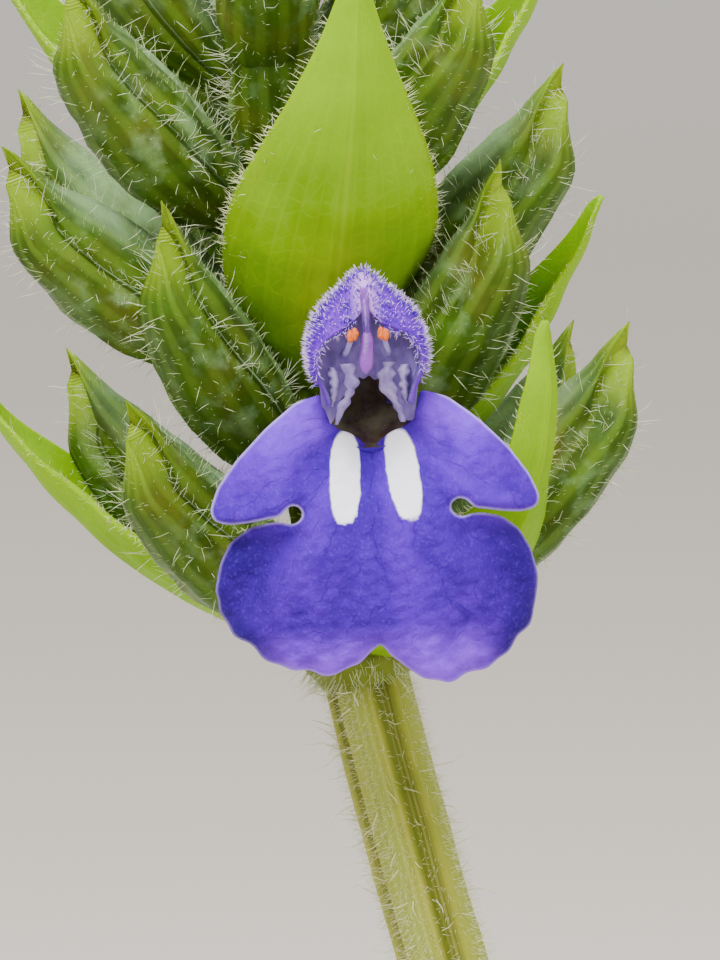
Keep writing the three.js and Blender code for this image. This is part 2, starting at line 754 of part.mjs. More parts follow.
// A side shoot: its stalk, one pair of small leaves and a short spike
function addShoot(shoot, index) {
  const start = stemPoint(shoot.along);
  const out = outward(shoot.azimuth);
  const reachOut = [stemRadius(shoot.along) + CLEAR, 0.42 * shoot.out, 0.8 * shoot.out, shoot.out];
  const reachUp = [1.2, 0.22 * shoot.up, 0.66 * shoot.up, shoot.up];
  const line = reachOut.map((d, i) => start.clone().addScaledVector(out, d).addScaledVector(UP, reachUp[i]));
  const curve = new THREE.CatmullRomCurve3(line, false, "catmullrom", 0.5);
  const points = Array.from({ length: 8 }, (_, i) => curve.getPoint(i / 7));
  const stalk = (grow) =>
    rod(points, points.map((_, i) => mix(1.15, 0.7, i / 7) + grow), 6, sideways(shoot.azimuth));
  const axis = {
    foot: line[3],
    leanAzimuth: shoot.azimuth,
    leanFoot: shoot.lean,
    leanTip: shoot.lean / 3,
    length: SIDE_SPIKE_LENGTH,
  };
  const whorls = ruledWhorls(SIDE_SPIKE, shoot.whorls, 11 * (index + 1));
  const tip = whorls[whorls.length - 1].at + 2.5;
  const parts = [stalk(0), rachisSolid(axis, tip, 0.7)];
  for (const { at, calyces } of whorls) {
    for (const calyx of calyces) parts.push(calyxSolid(axisPoint(axis, at), calyx, 0, 4));
  }
  for (const turn of [0, 180]) {
    const leaf = { ...SHOOT_LEAF, azimuth: shoot.azimuth + 90 + turn };
    parts.push(leafSolid(leaf, curve.getPoint(0.72), 5, index * 5 + turn));
  }
  const shootSolid = joined(parts).subtract(stemRoom);
  if (shoot.flower === undefined) {
    add(`side_shoot_${index + 1}`, shootSolid, CALYX_GREEN);
    return stalk(CLEAR);
  }
  const flower = [shoot.flower, 46, 6.4];
  const root = axisPoint(axis, SIDE_SPIKE.first);
  const clear = corollaSolid(root, flower, false, CLEAR);
  add(`side_shoot_${index + 1}`, shootSolid.add(calyxSolid(root, flower)).subtract(clear), CALYX_GREEN);
  add(`corolla_side_${index + 1}`, corollaSolid(root, flower, false), VIOLET);
  return stalk(CLEAR);
}
const leafKeepOut = joined([stemRoom, ...SHOOTS.map(addShoot)]);

LEAF_PAIRS.forEach((pair, k) => {
  const foot = stemPoint(pair.along);
  for (const [label, turn] of [["a", 0], ["b", 180]]) {
    const length = pair.length * (1 + 0.03 * vary(k, turn));
    const spec = { ...pair, azimuth: pair.azimuth + turn, length };
    const leaf = leafSolid(spec, foot, LEAF_TEETH, k * 2 + turn).subtract(leafKeepOut);
    add(`leaf_${k + 1}${label}`, leaf, LEAF_GREEN);
  }
});

// Main spike
const mainAxis = { ...MAIN_AXIS, foot: stemPoint(1).addScaledVector(UP, CLEAR) };
const mainWhorls = [...MAIN_WHORLS, ...ruledWhorls(MAIN_TOP, MAIN_TOP_WHORLS, 3)];
const frontFlower = MAIN_WHORLS[0].calyces[0];
const flowerRoot = axisPoint(mainAxis, MAIN_WHORLS[0].at);
const flowerRoom = corollaSolid(flowerRoot, frontFlower, true, CLEAR);

function spikeSolid(grow = 0) {
  const parts = [rachisSolid(mainAxis, MAIN_AXIS.length, RACHIS + grow)];
  for (const { at, calyces } of mainWhorls) {
    for (const calyx of calyces) parts.push(calyxSolid(axisPoint(mainAxis, at), calyx, grow));
  }
  return joined(parts);
}
add("spike", spikeSolid().subtract(flowerRoom), CALYX_GREEN);
const bractKeepOut = joined([spikeSolid(1.4 * CLEAR), flowerRoom, stemRoom]);
for (const bract of BRACTS) add(bract.name, bractSolid(mainAxis, bract).subtract(bractKeepOut), BRACT_GREEN);

const frontFrame = flowerFrame(flowerRoot, frontFlower[0], frontFlower[1]);
add("corolla_front", corollaSolid(flowerRoot, frontFlower, true), VIOLET);
add("style", styleSolid(frontFrame), PINK);
add("stamen_left", stamenSolid(frontFrame, -1), ORANGE);
add("stamen_right", stamenSolid(frontFrame, 1), ORANGE);

export default plant;
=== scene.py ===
import math

import bpy
import numpy as np
from bpy.props import FloatProperty, FloatVectorProperty, IntProperty, PointerProperty
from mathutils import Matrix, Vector
from mathutils.geometry import delaunay_2d_cdt


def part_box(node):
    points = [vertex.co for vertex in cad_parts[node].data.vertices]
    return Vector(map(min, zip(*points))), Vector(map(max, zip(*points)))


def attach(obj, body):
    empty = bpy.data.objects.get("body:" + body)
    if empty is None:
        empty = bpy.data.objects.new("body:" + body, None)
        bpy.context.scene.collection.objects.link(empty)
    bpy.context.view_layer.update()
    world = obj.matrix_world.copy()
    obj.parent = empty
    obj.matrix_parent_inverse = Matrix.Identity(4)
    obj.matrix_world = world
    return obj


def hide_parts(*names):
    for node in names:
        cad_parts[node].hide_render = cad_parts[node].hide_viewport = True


# Potted chia: one flowering herb in a plain clay pot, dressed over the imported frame.
# Places and sizes are worked out in millimetres and become metres when a mesh is made.
# An azimuth is an angle seen from above: 0 points to -Y (the front), 90 to +X (the right).

bl_info = {
    "name": "Potted Chia",
    "version": (1, 0, 0),
    "blender": (4, 5, 0),
    "location": "View3D > Sidebar > Chia",
    "description": "Builds the leaves, spikes, flowers, pot and soil of a potted chia",
    "category": "Add Mesh",
}

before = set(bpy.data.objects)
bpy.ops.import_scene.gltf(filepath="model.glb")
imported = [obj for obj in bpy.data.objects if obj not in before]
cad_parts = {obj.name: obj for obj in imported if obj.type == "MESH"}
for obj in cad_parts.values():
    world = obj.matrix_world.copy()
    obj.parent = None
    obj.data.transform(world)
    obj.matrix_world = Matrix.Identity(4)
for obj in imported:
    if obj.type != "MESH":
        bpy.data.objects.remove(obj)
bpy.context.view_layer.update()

MM = 0.001
UP = np.array([0.0, 0.0, 1.0])


# Directions and curves
def outward(azimuth):
    a = math.radians(azimuth)
    return np.array([math.sin(a), -math.cos(a), 0.0])


def sideways(azimuth):
    a = math.radians(azimuth)
    return np.array([math.cos(a), math.sin(a), 0.0])


def rising(azimuth, rise):
    r = math.radians(rise)
    return outward(azimuth) * math.cos(r) + UP * math.sin(r)


def mix(a, b, t):
    return a + (b - a) * t


def smooth(low, high, value):
    """0 below low, 1 above high and an even S between them."""
    t = np.clip((value - low) / (high - low), 0, 1)
    return t * t * (3 - 2 * t)


def bell(value, width):
    return np.exp(-((value / width) ** 2))


def vary(a, b):
    """A number from -1 to 1 that is always the same for the same two seeds."""
    s = math.sin(a * 12.9898 + b * 78.233) * 43758.5453
    return 2 * (s - math.floor(s)) - 1


def unit(vectors):
    return vectors / np.maximum(np.linalg.norm(vectors, axis=-1, keepdims=True), 1e-9)


def full_turn(count):
    """Angles at even steps all the way round."""
    return np.linspace(0, 2 * math.pi, count, endpoint=False)


def read_along(values, t):
    """A list of values read at t from 0 to 1, straight between them."""
    return np.interp(t, np.linspace(0, 1, len(values)), values)


def curve_points(line, t):
    """Points of the smooth curve through a line's points, at shares t of its stretches."""
    line = np.asarray(line, float)
    padded = np.vstack([2 * line[0] - line[1], line, 2 * line[-1] - line[-2]])
    place = np.clip(np.atleast_1d(t), 0, 1) * (len(line) - 1)
    i = np.minimum(place.astype(int), len(line) - 2)
    t = (place - i)[:, None]
    a, b, c, d = padded[i], padded[i + 1], padded[i + 2], padded[i + 3]
    bend = (2 * a - 5 * b + 4 * c - d) * t**2 + (3 * b - a - 3 * c + d) * t**3
    return b + 0.5 * ((c - a) * t + bend)


def ripple(points, size, seed):
    """Soft uneven relief from -1 to 1 with bumps of about that size."""
    rng = np.random.default_rng(seed)
    total = np.zeros(points.shape[:-1])
    for turn in unit(rng.normal(size=(6, 3))):
        wave = points @ turn * (2 * math.pi / size) * rng.uniform(0.7, 1.4)
        total += np.sin(wave + rng.uniform(0, 6.28)) / 6
    return total * 1.8


# Meshes
def show(name, data):
    """A new object in the scene."""
    made = bpy.data.objects.new(name, data)
    bpy.context.scene.collection.objects.link(made)
    return made


class Draft:
    """A piece while it is being made: its points, faces, surface coordinates and slots."""

    def __init__(self):
        self.points = []
        self.places = []
        self.faces = []
        self.slots = []
        self.count = 0

    def add(self, points, faces, places, slot=0):
        """Adds points in millimetres, with one array of faces or a list of them."""
        points = np.asarray(points, float).reshape(-1, 3)
        self.points.append(points)
        self.places.append(np.broadcast_to(np.asarray(places, float), points.shape))
        for some in faces if isinstance(faces, list) else [faces]:
            self.faces.extend((some + self.count).tolist())
            self.slots.extend([slot] * len(some))
        self.count += len(points)

    def piece(self, name, materials, slot, nodes=()):
        """The finished object: it rides on the part and stands for its CAD nodes."""
        if not self.count:
            raise RuntimeError(f"{name} has no points")
        mesh = bpy.data.meshes.new(name)
        mesh.from_pydata((np.vstack(self.points) * MM).tolist(), [], self.faces)
        place = mesh.attributes.new("place", "FLOAT_VECTOR", "POINT")
        place.data.foreach_set("vector", np.vstack(self.places).astype(np.float32).ravel())
        for material in materials:
            mesh.materials.append(material)
        mesh.polygons.foreach_set("material_index", self.slots)
        mesh.shade_smooth()
        made = show(name, mesh)
        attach(made, "root")
        if nodes:
            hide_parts(*nodes)
        return made


def grid_faces(rows, columns, closed=False):
    r = np.arange(rows - 1)[:, None]
    c = np.arange(columns if closed else columns - 1)[None, :]
    a = r * columns + c
    b = r * columns + (c + 1) % columns
    return np.stack([a, b, b + columns, a + columns], -1).reshape(-1, 4)


def fan(first, count, centre, reverse=False):
    """Triangles from a ring of points to the point that closes it."""
    a = first + np.arange(count)
    b = first + (np.arange(count) + 1) % count
    return np.stack([b, a, np.full(count, centre)] if reverse else [a, b, np.full(count, centre)], -1)


def seam(first, count):
    """Quads that join the two halves of a flattened ring."""
    k = np.arange(count // 2 - 1)
    return first + np.stack([k + 1, k, count - 1 - k, count - 2 - k], -1)


def add_rings(draft, rings, places, slot=0, ends=True, flat=False):
    """A closed skin over rings of points, with a fan over each end, or a seam where they are flat."""
    rows, columns = rings.shape[:2]
    places = np.broadcast_to(places, rings.shape)
    points = rings.reshape(-1, 3)
    coordinates = places.reshape(-1, 3)
    faces = [grid_faces(rows, columns, closed=True)]
    if flat:
        faces += [seam(0, columns), seam((rows - 1) * columns, columns)[:, ::-1]]
    elif ends:
        points = np.vstack([points, rings[0].mean(0), rings[-1].mean(0)])
        coordinates = np.vstack([coordinates, places[0].mean(0), places[-1].mean(0)])
        faces.append(fan(0, columns, rows * columns, reverse=True))
        faces.append(fan((rows - 1) * columns, columns, rows * columns + 1))
    draft.add(points, faces, coordinates, slot)


def tube_rings(line, radii, side, sides, shape=1.0):
    """Rings of points round a line, with a side direction that they all keep."""
    tangents = unit(np.gradient(line, axis=0))
    across = unit(side - (tangents @ side)[:, None] * tangents)
    other = np.cross(tangents, across)
    angles = full_turn(sides)[None, :, None]
    reach = np.broadcast_to(np.asarray(radii)[:, None] * shape, (len(line), sides))[..., None]
    return line[:, None] + reach * (np.cos(angles) * across[:, None] + np.sin(angles) * other[:, None])


def tube_places(rows, sides, seed=0.0):
    """Surface coordinates of a tube: share along it, share round it and its seed."""
    along, around = np.meshgrid(np.linspace(0, 1, rows), np.arange(sides) / sides, indexing="ij")
    return np.stack([along, around, np.full(along.shape, seed)], -1)


def add_sheet(draft, rows, normals, thickness, places, slot=0):
    """A closed blade: rows of points, its normals, and a thickness that may vary."""
    half = np.broadcast_to(np.asarray(thickness, float), rows.shape[:2])[..., None] / 2
    upper = rows + normals * half
    lower = rows - normals * half
    under = places * np.array([1, 1, 0]) + np.array([0, 0, -1.0])
    rings = np.concatenate([lower, upper[:, ::-1]], axis=1)
    add_rings(draft, rings, np.concatenate([under, places[:, ::-1]], axis=1), slot, flat=True)


def surface_normals(rows):
    """Normals of a grid of points, from its own slopes."""
    return unit(np.cross(np.gradient(rows, axis=1), np.gradient(rows, axis=0)))


# Hairs
# Where along its length a bent hair turns, how thick it is there and how far it has curled
ELBOW = 0.55
ELBOW_GIRTH = 0.72
ELBOW_CURL = 0.22


def scatter(rows, places, count, rng, share=None):
    """Random spots on a grid of points by area: points, normals and surface coordinates."""
    faces = grid_faces(*rows.shape[:2])
    points = rows.reshape(-1, 3)[faces]
    spots = places.reshape(-1, 3)[faces]
    cross = np.cross(points[:, 2] - points[:, 0], points[:, 3] - points[:, 1])
    weight = np.linalg.norm(cross, axis=1)
    if share is not None:
        weight = weight * share(spots.mean(1))
    chosen = rng.choice(len(faces), count, p=weight / weight.sum())
    s, t = rng.uniform(size=(2, count, 1))

    def between(corners):
        a, b, c, d = (corners[chosen, k] for k in range(4))
        return mix(mix(a, b, s), mix(d, c, s), t)

    return between(points), unit(cross[chosen]), between(spots)


def add_hairs(draft, roots, directions, lengths, radius, rng, bend=0.3, slot=0, kind=0.0):
    """Tapered three-sided hairs: with a bend they turn on the way, without one they are plain spikes."""
    count = len(roots)
    directions = unit(directions)
    lengths = np.broadcast_to(lengths, (count,))[:, None]
    sway = np.cross(directions, unit(rng.normal(size=(count, 3))))
    across = unit(np.cross(directions, unit(rng.normal(size=(count, 3)))))
    other = np.cross(directions, across)
    curl = unit(sway) * lengths * bend * rng.uniform(0.3, 1, size=(count, 1))
    levels = [(roots - directions * radius, 1.0, 0.0)]
    if bend:
        levels.append((roots + directions * lengths * ELBOW + curl * ELBOW_CURL, ELBOW_GIRTH, ELBOW))
    points, share = [], []
    for centre, girth, along in levels:
        for k in range(3):
            a = 2 * math.pi * k / 3
            points.append(centre + radius * girth * (across * math.cos(a) + other * math.sin(a)))
            share.append(along)
    points = np.stack([*points, roots + directions * lengths + curl], axis=1)
    size = len(share) + 1
    share = np.broadcast_to([*share, 1.0], (count, size))
    seeds = np.broadcast_to(rng.uniform(size=(count, 1)), (count, size))
    places = np.stack([share, seeds, np.full(share.shape, kind)], -1)
    first = np.arange(count)[:, None, None] * size
    faces = [(first + np.array([[0, 1, 3], [1, 2, 3], [2, 0, 3]]) + size - 4).reshape(-1, 3)]
    if bend:
        faces.append((first + np.array([[0, 1, 4, 3], [1, 2, 5, 4], [2, 0, 3, 5]])).reshape(-1, 4))
    draft.add(points.reshape(-1, 3), faces, places.reshape(-1, 3), slot)


# Materials
def tone(code):
    """A screen colour such as 6a52cc as the linear numbers that a shader takes."""
    parts = [int(code[i:i + 2], 16) / 255 for i in (0, 2, 4)]
    return tuple(p / 12.92 if p <= 0.04045 else ((p + 0.055) / 1.055) ** 2.4 for p in parts)


class Finish:
    """One material: a call adds a node and gives back its output, and coats build up its colour."""

    def __init__(self, name, roughness=0.6, **constants):
        self.material = bpy.data.materials.new(name)
        self.material.use_nodes = True
        self.tree = self.material.node_tree
        self.shader = next(n for n in self.tree.nodes if n.type == "BSDF_PRINCIPLED")
        self.shader.inputs["Roughness"].default_value = roughness
        for socket, value in constants.items():
            self.shader.inputs[socket.replace("_", " ")].default_value = value
        spot = self.node("ShaderNodeAttribute", attribute_name="place", output="Vector")
        self.along, self.across, self.seed = self.split(spot)
        self.spot = spot
        self.object = self.node("ShaderNodeTexCoord", output="Object")

    def node(self, kind, inputs=None, output=0, **settings):
        made = self.tree.nodes.new(kind)
        for key, value in settings.items():
            setattr(made, key, value)
        for key, value in (inputs or {}).items():
            self.feed(made.inputs[key], value)
        return made.outputs[output]

    def feed(self, socket, value):
        """Links an output to a socket, or sets the socket; a colour may be a screen code."""
        if isinstance(value, bpy.types.NodeSocket):
            self.tree.links.new(value, socket)
        elif isinstance(value, str):
            socket.default_value = (*tone(value), 1.0)
        elif socket.type == "RGBA":
            socket.default_value = (*value[:3], 1.0)
        else:
            socket.default_value = value

    def split(self, vector):
        parts = self.node("ShaderNodeSeparateXYZ", {0: vector}).node
        return parts.outputs[0], parts.outputs[1], parts.outputs[2]

    def math(self, operation, a, b=0.0, c=0.0):
        return self.node("ShaderNodeMath", {0: a, 1: b, 2: c}, operation=operation)

    def add(self, a, b):
        return self.math("ADD", a, b)

    def times(self, a, b):
        return self.math("MULTIPLY", a, b)

    def span(self, value, low, high, start=0.0, end=1.0):
        """start below low, end above high and an even S between them."""
        inputs = {"Value": value, "From Min": low, "From Max": high, "To Min": start, "To Max": end}
        return self.node("ShaderNodeMapRange", inputs, interpolation_type="SMOOTHSTEP")

    def peak(self, value, centre, width):
        """1 where the value is the centre, falling evenly to 0 at that width from it."""
        away = self.math("ABSOLUTE", self.math("SUBTRACT", value, centre))
        return self.span(away, 0.0, width, 1.0, 0.0)

    def noise(self, size, detail=3.0, vector=None, roughness=0.55):
        """Cloudy noise from 0 to 1 with patches of about that size in millimetres."""
        inputs = {"Scale": 1 / size / MM, "Detail": detail, "Roughness": roughness}
        if vector is not None:
            inputs["Scale"] = 1 / size
        inputs["Vector"] = self.object if vector is None else vector
        return self.node("ShaderNodeTexNoise", inputs)

    def patches(self, size, low, high, start=0.0, end=1.0, detail=3.0):
        """The same noise, drawn apart into patches: start where it is low and end where it is high."""
        return self.span(self.noise(size, detail), low, high, start, end)

    def cells(self, size, feature="DISTANCE_TO_EDGE"):
        """Distance from the edges of small cells, or with F1 from their middles."""
        inputs = {"Scale": 1 / size / MM, "Vector": self.object}
        return self.node("ShaderNodeTexVoronoi", inputs, feature=feature)

    def stretch(self, along, across):
        """Surface coordinates scaled for streaks, as a vector."""
        scale = (along, across, 1.0)
        return self.node("ShaderNodeVectorMath", {0: self.spot, 1: scale}, operation="MULTIPLY")

    def blend(self, share, a, b):
        """Colour a where the share is 0 and colour b where it is 1."""
        made = self.tree.nodes.new("ShaderNodeMix")
        made.data_type = "RGBA"
        for key, value in ((0, share), (6, a), (7, b)):
            self.feed(made.inputs[key], value)
        return made.outputs[2]

    def ground(self, share, a, b):
        """The colour that coats are laid over."""
        self.colour = self.blend(share, a, b)

    def coat(self, share, colour):
        """Lays one more colour over the ones below it."""
        self.colour = self.blend(share, self.colour, colour)

    def finish(self, roughness=None, height=None, depth=0.05):
        """Feeds the shader; depth is the relief's height in millimetres."""
        self.feed(self.shader.inputs["Base Color"], self.colour)
        if roughness is not None:
            self.feed(self.shader.inputs["Roughness"], roughness)
        if height is not None:
            inputs = {"Height": height, "Distance": depth * MM, "Strength": 1.0}
            bump = self.node("ShaderNodeBump", inputs, output="Normal")
            self.feed(self.shader.inputs["Normal"], bump)
        return self.material


# How far each colour of light spreads inside the plant's tissues, as shares of the scale
GREEN_GLOW = (0.5, 1.0, 0.25)
VIOLET_GLOW = (0.6, 0.4, 1.0)


def living(name, roughness, shine, glow, weight, depth):
    """A finish for a plant's tissue, which light enters to about that depth in millimetres."""
    return Finish(
        name,
        roughness,
        Specular_IOR_Level=shine,
        Subsurface_Radius=glow,
        Subsurface_Weight=weight,
        Subsurface_Scale=depth * MM,
    )


def clay_finish(settings):
    """Fired clay: sandy grain, thrown rings, pale salts and a darker damp foot."""
    f = Finish("clay", 0.85)
    height = f.split(f.object)[2]
    cloud = f.noise(14, 4)
    f.ground(f.span(cloud, 0.3, 0.7), settings.colour, settings.dark_colour)
    grain = f.noise(0.5, 4)
    f.coat(f.span(grain, 0.35, 0.8, 0.0, 0.5), "cc8660")
    speck = f.span(f.cells(1.6, "F1"), 0.05, 0.13, 0.55, 0.0)
    f.coat(speck, "6a3420")
    salts = f.times(f.span(f.noise(9, 6, roughness=0.7), 0.52, 0.7), f.span(height, 0.058, 0.083))
    low_salts = f.times(f.patches(6, 0.5, 0.72, detail=5), f.span(height, 0.022, 0.004, 0.0, 0.8))
    f.coat(f.times(f.math("MAXIMUM", salts, low_salts), settings.salts), "e6d6c6")
    damp = f.times(f.span(height, 0.034, 0.0, 0.0, 0.4), f.patches(20, 0.3, 0.6, detail=2))
    f.coat(damp, "7a3f28")
    rings = f.math("SINE", f.times(f.add(height, f.times(f.noise(12, 2), 0.0012)), 5200.0))
    relief = f.add(f.times(rings, 0.12), f.add(f.times(grain, 0.5), f.times(speck, -0.5)))
    return f.finish(f.span(cloud, 0.3, 0.7, 0.78, 0.92), relief, 0.22)


def soil_finish(settings):
    """Potting soil: dark and damp, with drier patches and a few pale crumbs."""
    f = Finish("soil", 0.95)
    patch = f.noise(3.5, 5)
    f.ground(f.span(patch, 0.35, 0.68), settings.dark_colour, settings.colour)
    dry = f.times(f.patches(1.1, 0.52, 0.74, detail=4), 0.6)
    f.coat(dry, "8a6a4c")
    f.coat(f.times(f.along, f.times(f.across, 0.5)), "a08868")
    relief = f.add(f.noise(0.45, 5), f.times(f.noise(1.6, 3), 1.4))
    return f.finish(None, relief, 0.6)


def stem_finish(settings):
    """The ridged stem: pale fuzzy ridges, green faces and a dark groove down each face."""
    f = living("stem", 0.7, 0.15, GREEN_GLOW, 0.12, 0.6)
    turn = f.math("FRACT", f.times(f.across, STEM_RIDGES))
    ridge = f.peak(turn, 0.5, 0.42)
    groove = f.math("MAXIMUM", f.span(turn, 0.22, 0.1), f.span(turn, 0.78, 0.9))
    f.ground(f.patches(1.4, 0.3, 0.7, detail=4), "7c8418", "97962e")
    young = f.span(f.along, 0.8, 0.98)
    f.coat(ridge, f.blend(young, "7d923a", settings.stem_colour))
    f.coat(f.times(groove, f.span(young, 0.0, 1.0, 0.5, 0.8)), settings.groove_colour)
    streak = f.noise(1.0, 3, f.stretch(9.0, 70.0))
    f.coat(f.span(streak, 0.4, 0.75, 0.0, 0.3), "c6bf70")
    foot = f.times(f.span(f.along, 0.26, 0.16), f.patches(2.5, 0.35, 0.65, 0.3, 0.8))
    f.coat(foot, "8a6a44")
    return f.finish(None, f.add(f.times(streak, 0.5), f.noise(0.12, 2)), 0.03)


def leaf_finish(settings):
    """Leaf blades: sunk pale veins, puckered dark green between them, a paler underside."""
    f = living("leaf", 0.55, 0.25, GREEN_GLOW, 0.1, 0.8)
    reach = f.math("ABSOLUTE", f.across)
    under = f.span(f.seed, -0.4, -0.6)
    patch = f.noise(2.6, 4)
    deep = f.blend(f.span(patch, 0.3, 0.7), settings.leaf_colour, settings.leaf_dark)
    f.ground(f.times(f.span(reach, 0.0, 1.0), 0.3), deep, "86a83c")
    bow = f.math("SUBTRACT", f.along, f.times(f.math("POWER", reach, VEIN_BOW), VEIN_SWEEP))
    turn = f.math("FRACT", f.times(f.add(bow, VEIN_START), VEINS))
    side_vein = f.math("MAXIMUM", f.peak(turn, 0.0, 0.13), f.peak(turn, 1.0, 0.13))
    side_vein = f.times(side_vein, f.span(reach, 1.0, 0.7))
    midrib = f.peak(reach, 0.0, 0.07)
    net = f.span(f.cells(0.9), 0.0, 0.1, 1.0, 0.0)
    fine_net = f.span(f.cells(0.34), 0.0, 0.12, 0.7, 0.0)
    veins = f.math("MAXIMUM", side_vein, midrib)
    lines = f.math("MAXIMUM", veins, f.times(f.math("MAXIMUM", net, f.times(fine_net, 0.6)), 0.45))
    f.coat(f.times(lines, 0.75), settings.vein_colour)
    f.coat(f.times(f.peak(reach, 1.0, 0.06), 0.5), "b9b35c")
    f.coat(f.times(under, 0.6), "7c9a4c")
    relief = f.math("SUBTRACT", f.times(f.noise(0.7, 3), 0.8), f.times(lines, 0.9))
    return f.finish(f.span(patch, 0.3, 0.7, 0.42, 0.58), relief, 0.14)


def calyx_finish(settings):
    """Calyces: ribbed green, darker between the ribs and towards the foot, with a painted pale sheen on the
    back and painted shade on the underside.
    """
    f = living("calyx", 0.6, 0.08, GREEN_GLOW, 0.12, 0.5)
    patch = f.noise(0.9, 4)
    f.ground(f.span(patch, 0.3, 0.7), settings.calyx_colour, settings.calyx_dark)
    f.coat(f.patches(1.7, 0.45, 0.7, 0.0, 0.5), "66661c")
    rib = f.math("ABSOLUTE", f.math("SINE", f.times(f.across, CALYX_RIBS * math.pi)))
    f.coat(f.span(rib, 0.55, 1.0, 0.0, 0.25), "7a9c30")
    # painted sheen: a pale band of reflected light along each calyx's back
    back = f.times(f.peak(f.across, 0.25, 0.2), f.peak(f.along, 0.55, 0.5))
    f.coat(f.times(back, f.patches(1.5, 0.38, 0.62, 0.3, 0.95)), "a4c894")
    # painted sheen: pale patches of reflected light along the middle of the length
    painted_sheen = f.times(f.peak(f.along, 0.58, 0.34), f.patches(0.6, 0.48, 0.75, 0.0, 0.45, detail=4))
    f.coat(painted_sheen, "98be84")
    # painted shade on each calyx's underside, where less light falls
    under = f.times(f.peak(f.across, 0.75, 0.24), f.patches(0.6, 0.35, 0.65, 0.3, 0.9))
    f.coat(f.times(under, 0.7), "34500a")
    f.coat(f.span(f.along, 0.84, 1.0, 0.0, 0.7), "8aa81c")
    f.coat(f.span(f.along, 0.22, 0.0, 0.0, 0.7), "747a26")
    fleck = f.span(f.cells(0.16, "F1"), 0.02, 0.05, 0.35, 0.0)
    f.coat(fleck, "a8c86c")
    relief = f.add(f.times(rib, 0.4), f.add(f.times(f.noise(0.14, 3), 0.5), fleck))
    return f.finish(f.span(patch, 0.3, 0.7, 0.36, 0.56), relief, 0.035)


def bract_finish(settings):
    """Bracts: bright yellow-green with fine pale veins, duller margins and foot, and dots of glands."""
    f = living("bract", 0.6, 0.04, GREEN_GLOW, 0.22, 0.7)
    reach = f.math("ABSOLUTE", f.across)
    patch = f.noise(1.8, 3)
    f.ground(f.span(patch, 0.3, 0.7), settings.bract_colour, settings.bract_dark)
    glow = f.times(f.peak(f.along, 0.28, 0.3), f.peak(reach, 0.0, 0.55))
    f.coat(f.times(glow, f.patches(1.2, 0.3, 0.65, 0.15, 0.5)), "aab61a")
    edge = f.times(f.span(reach, 0.72, 1.0), f.patches(1.0, 0.3, 0.7, 0.3, 0.9))
    f.coat(f.times(edge, 0.5), "7e9a14")
    bow = f.times(f.across, f.add(1.0, f.times(f.along, 0.5)))
    vein = f.peak(f.math("FRACT", f.times(bow, 5.0)), 0.5, 0.16)
    net = f.span(f.cells(0.42), 0.0, 0.1, 1.0, 0.0)
    midrib = f.peak(reach, 0.0, 0.05)
    lines = f.math("MAXIMUM", midrib, f.math("MAXIMUM", f.times(vein, 0.5), f.times(net, 0.4)))
    f.coat(f.times(lines, 0.14), "c6d43c")
    f.coat(f.span(f.along, 0.5, 0.8, 0.0, 0.6), "82aa00")
    dots = f.span(f.cells(0.2, "F1"), 0.02, 0.045, 0.4, 0.0)
    f.coat(dots, "6a8a10")
    shade = f.times(f.span(f.along, 0.16, 0.0, 0.0, 0.55), f.patches(0.8, 0.3, 0.7, 0.5, 1.0))
    f.coat(shade, "6c7420")
    relief = f.math("SUBTRACT", f.times(f.noise(0.3, 3), 0.7), f.times(lines, 0.35))
    return f.finish(f.span(patch, 0.3, 0.7, 0.48, 0.62), relief, 0.02)


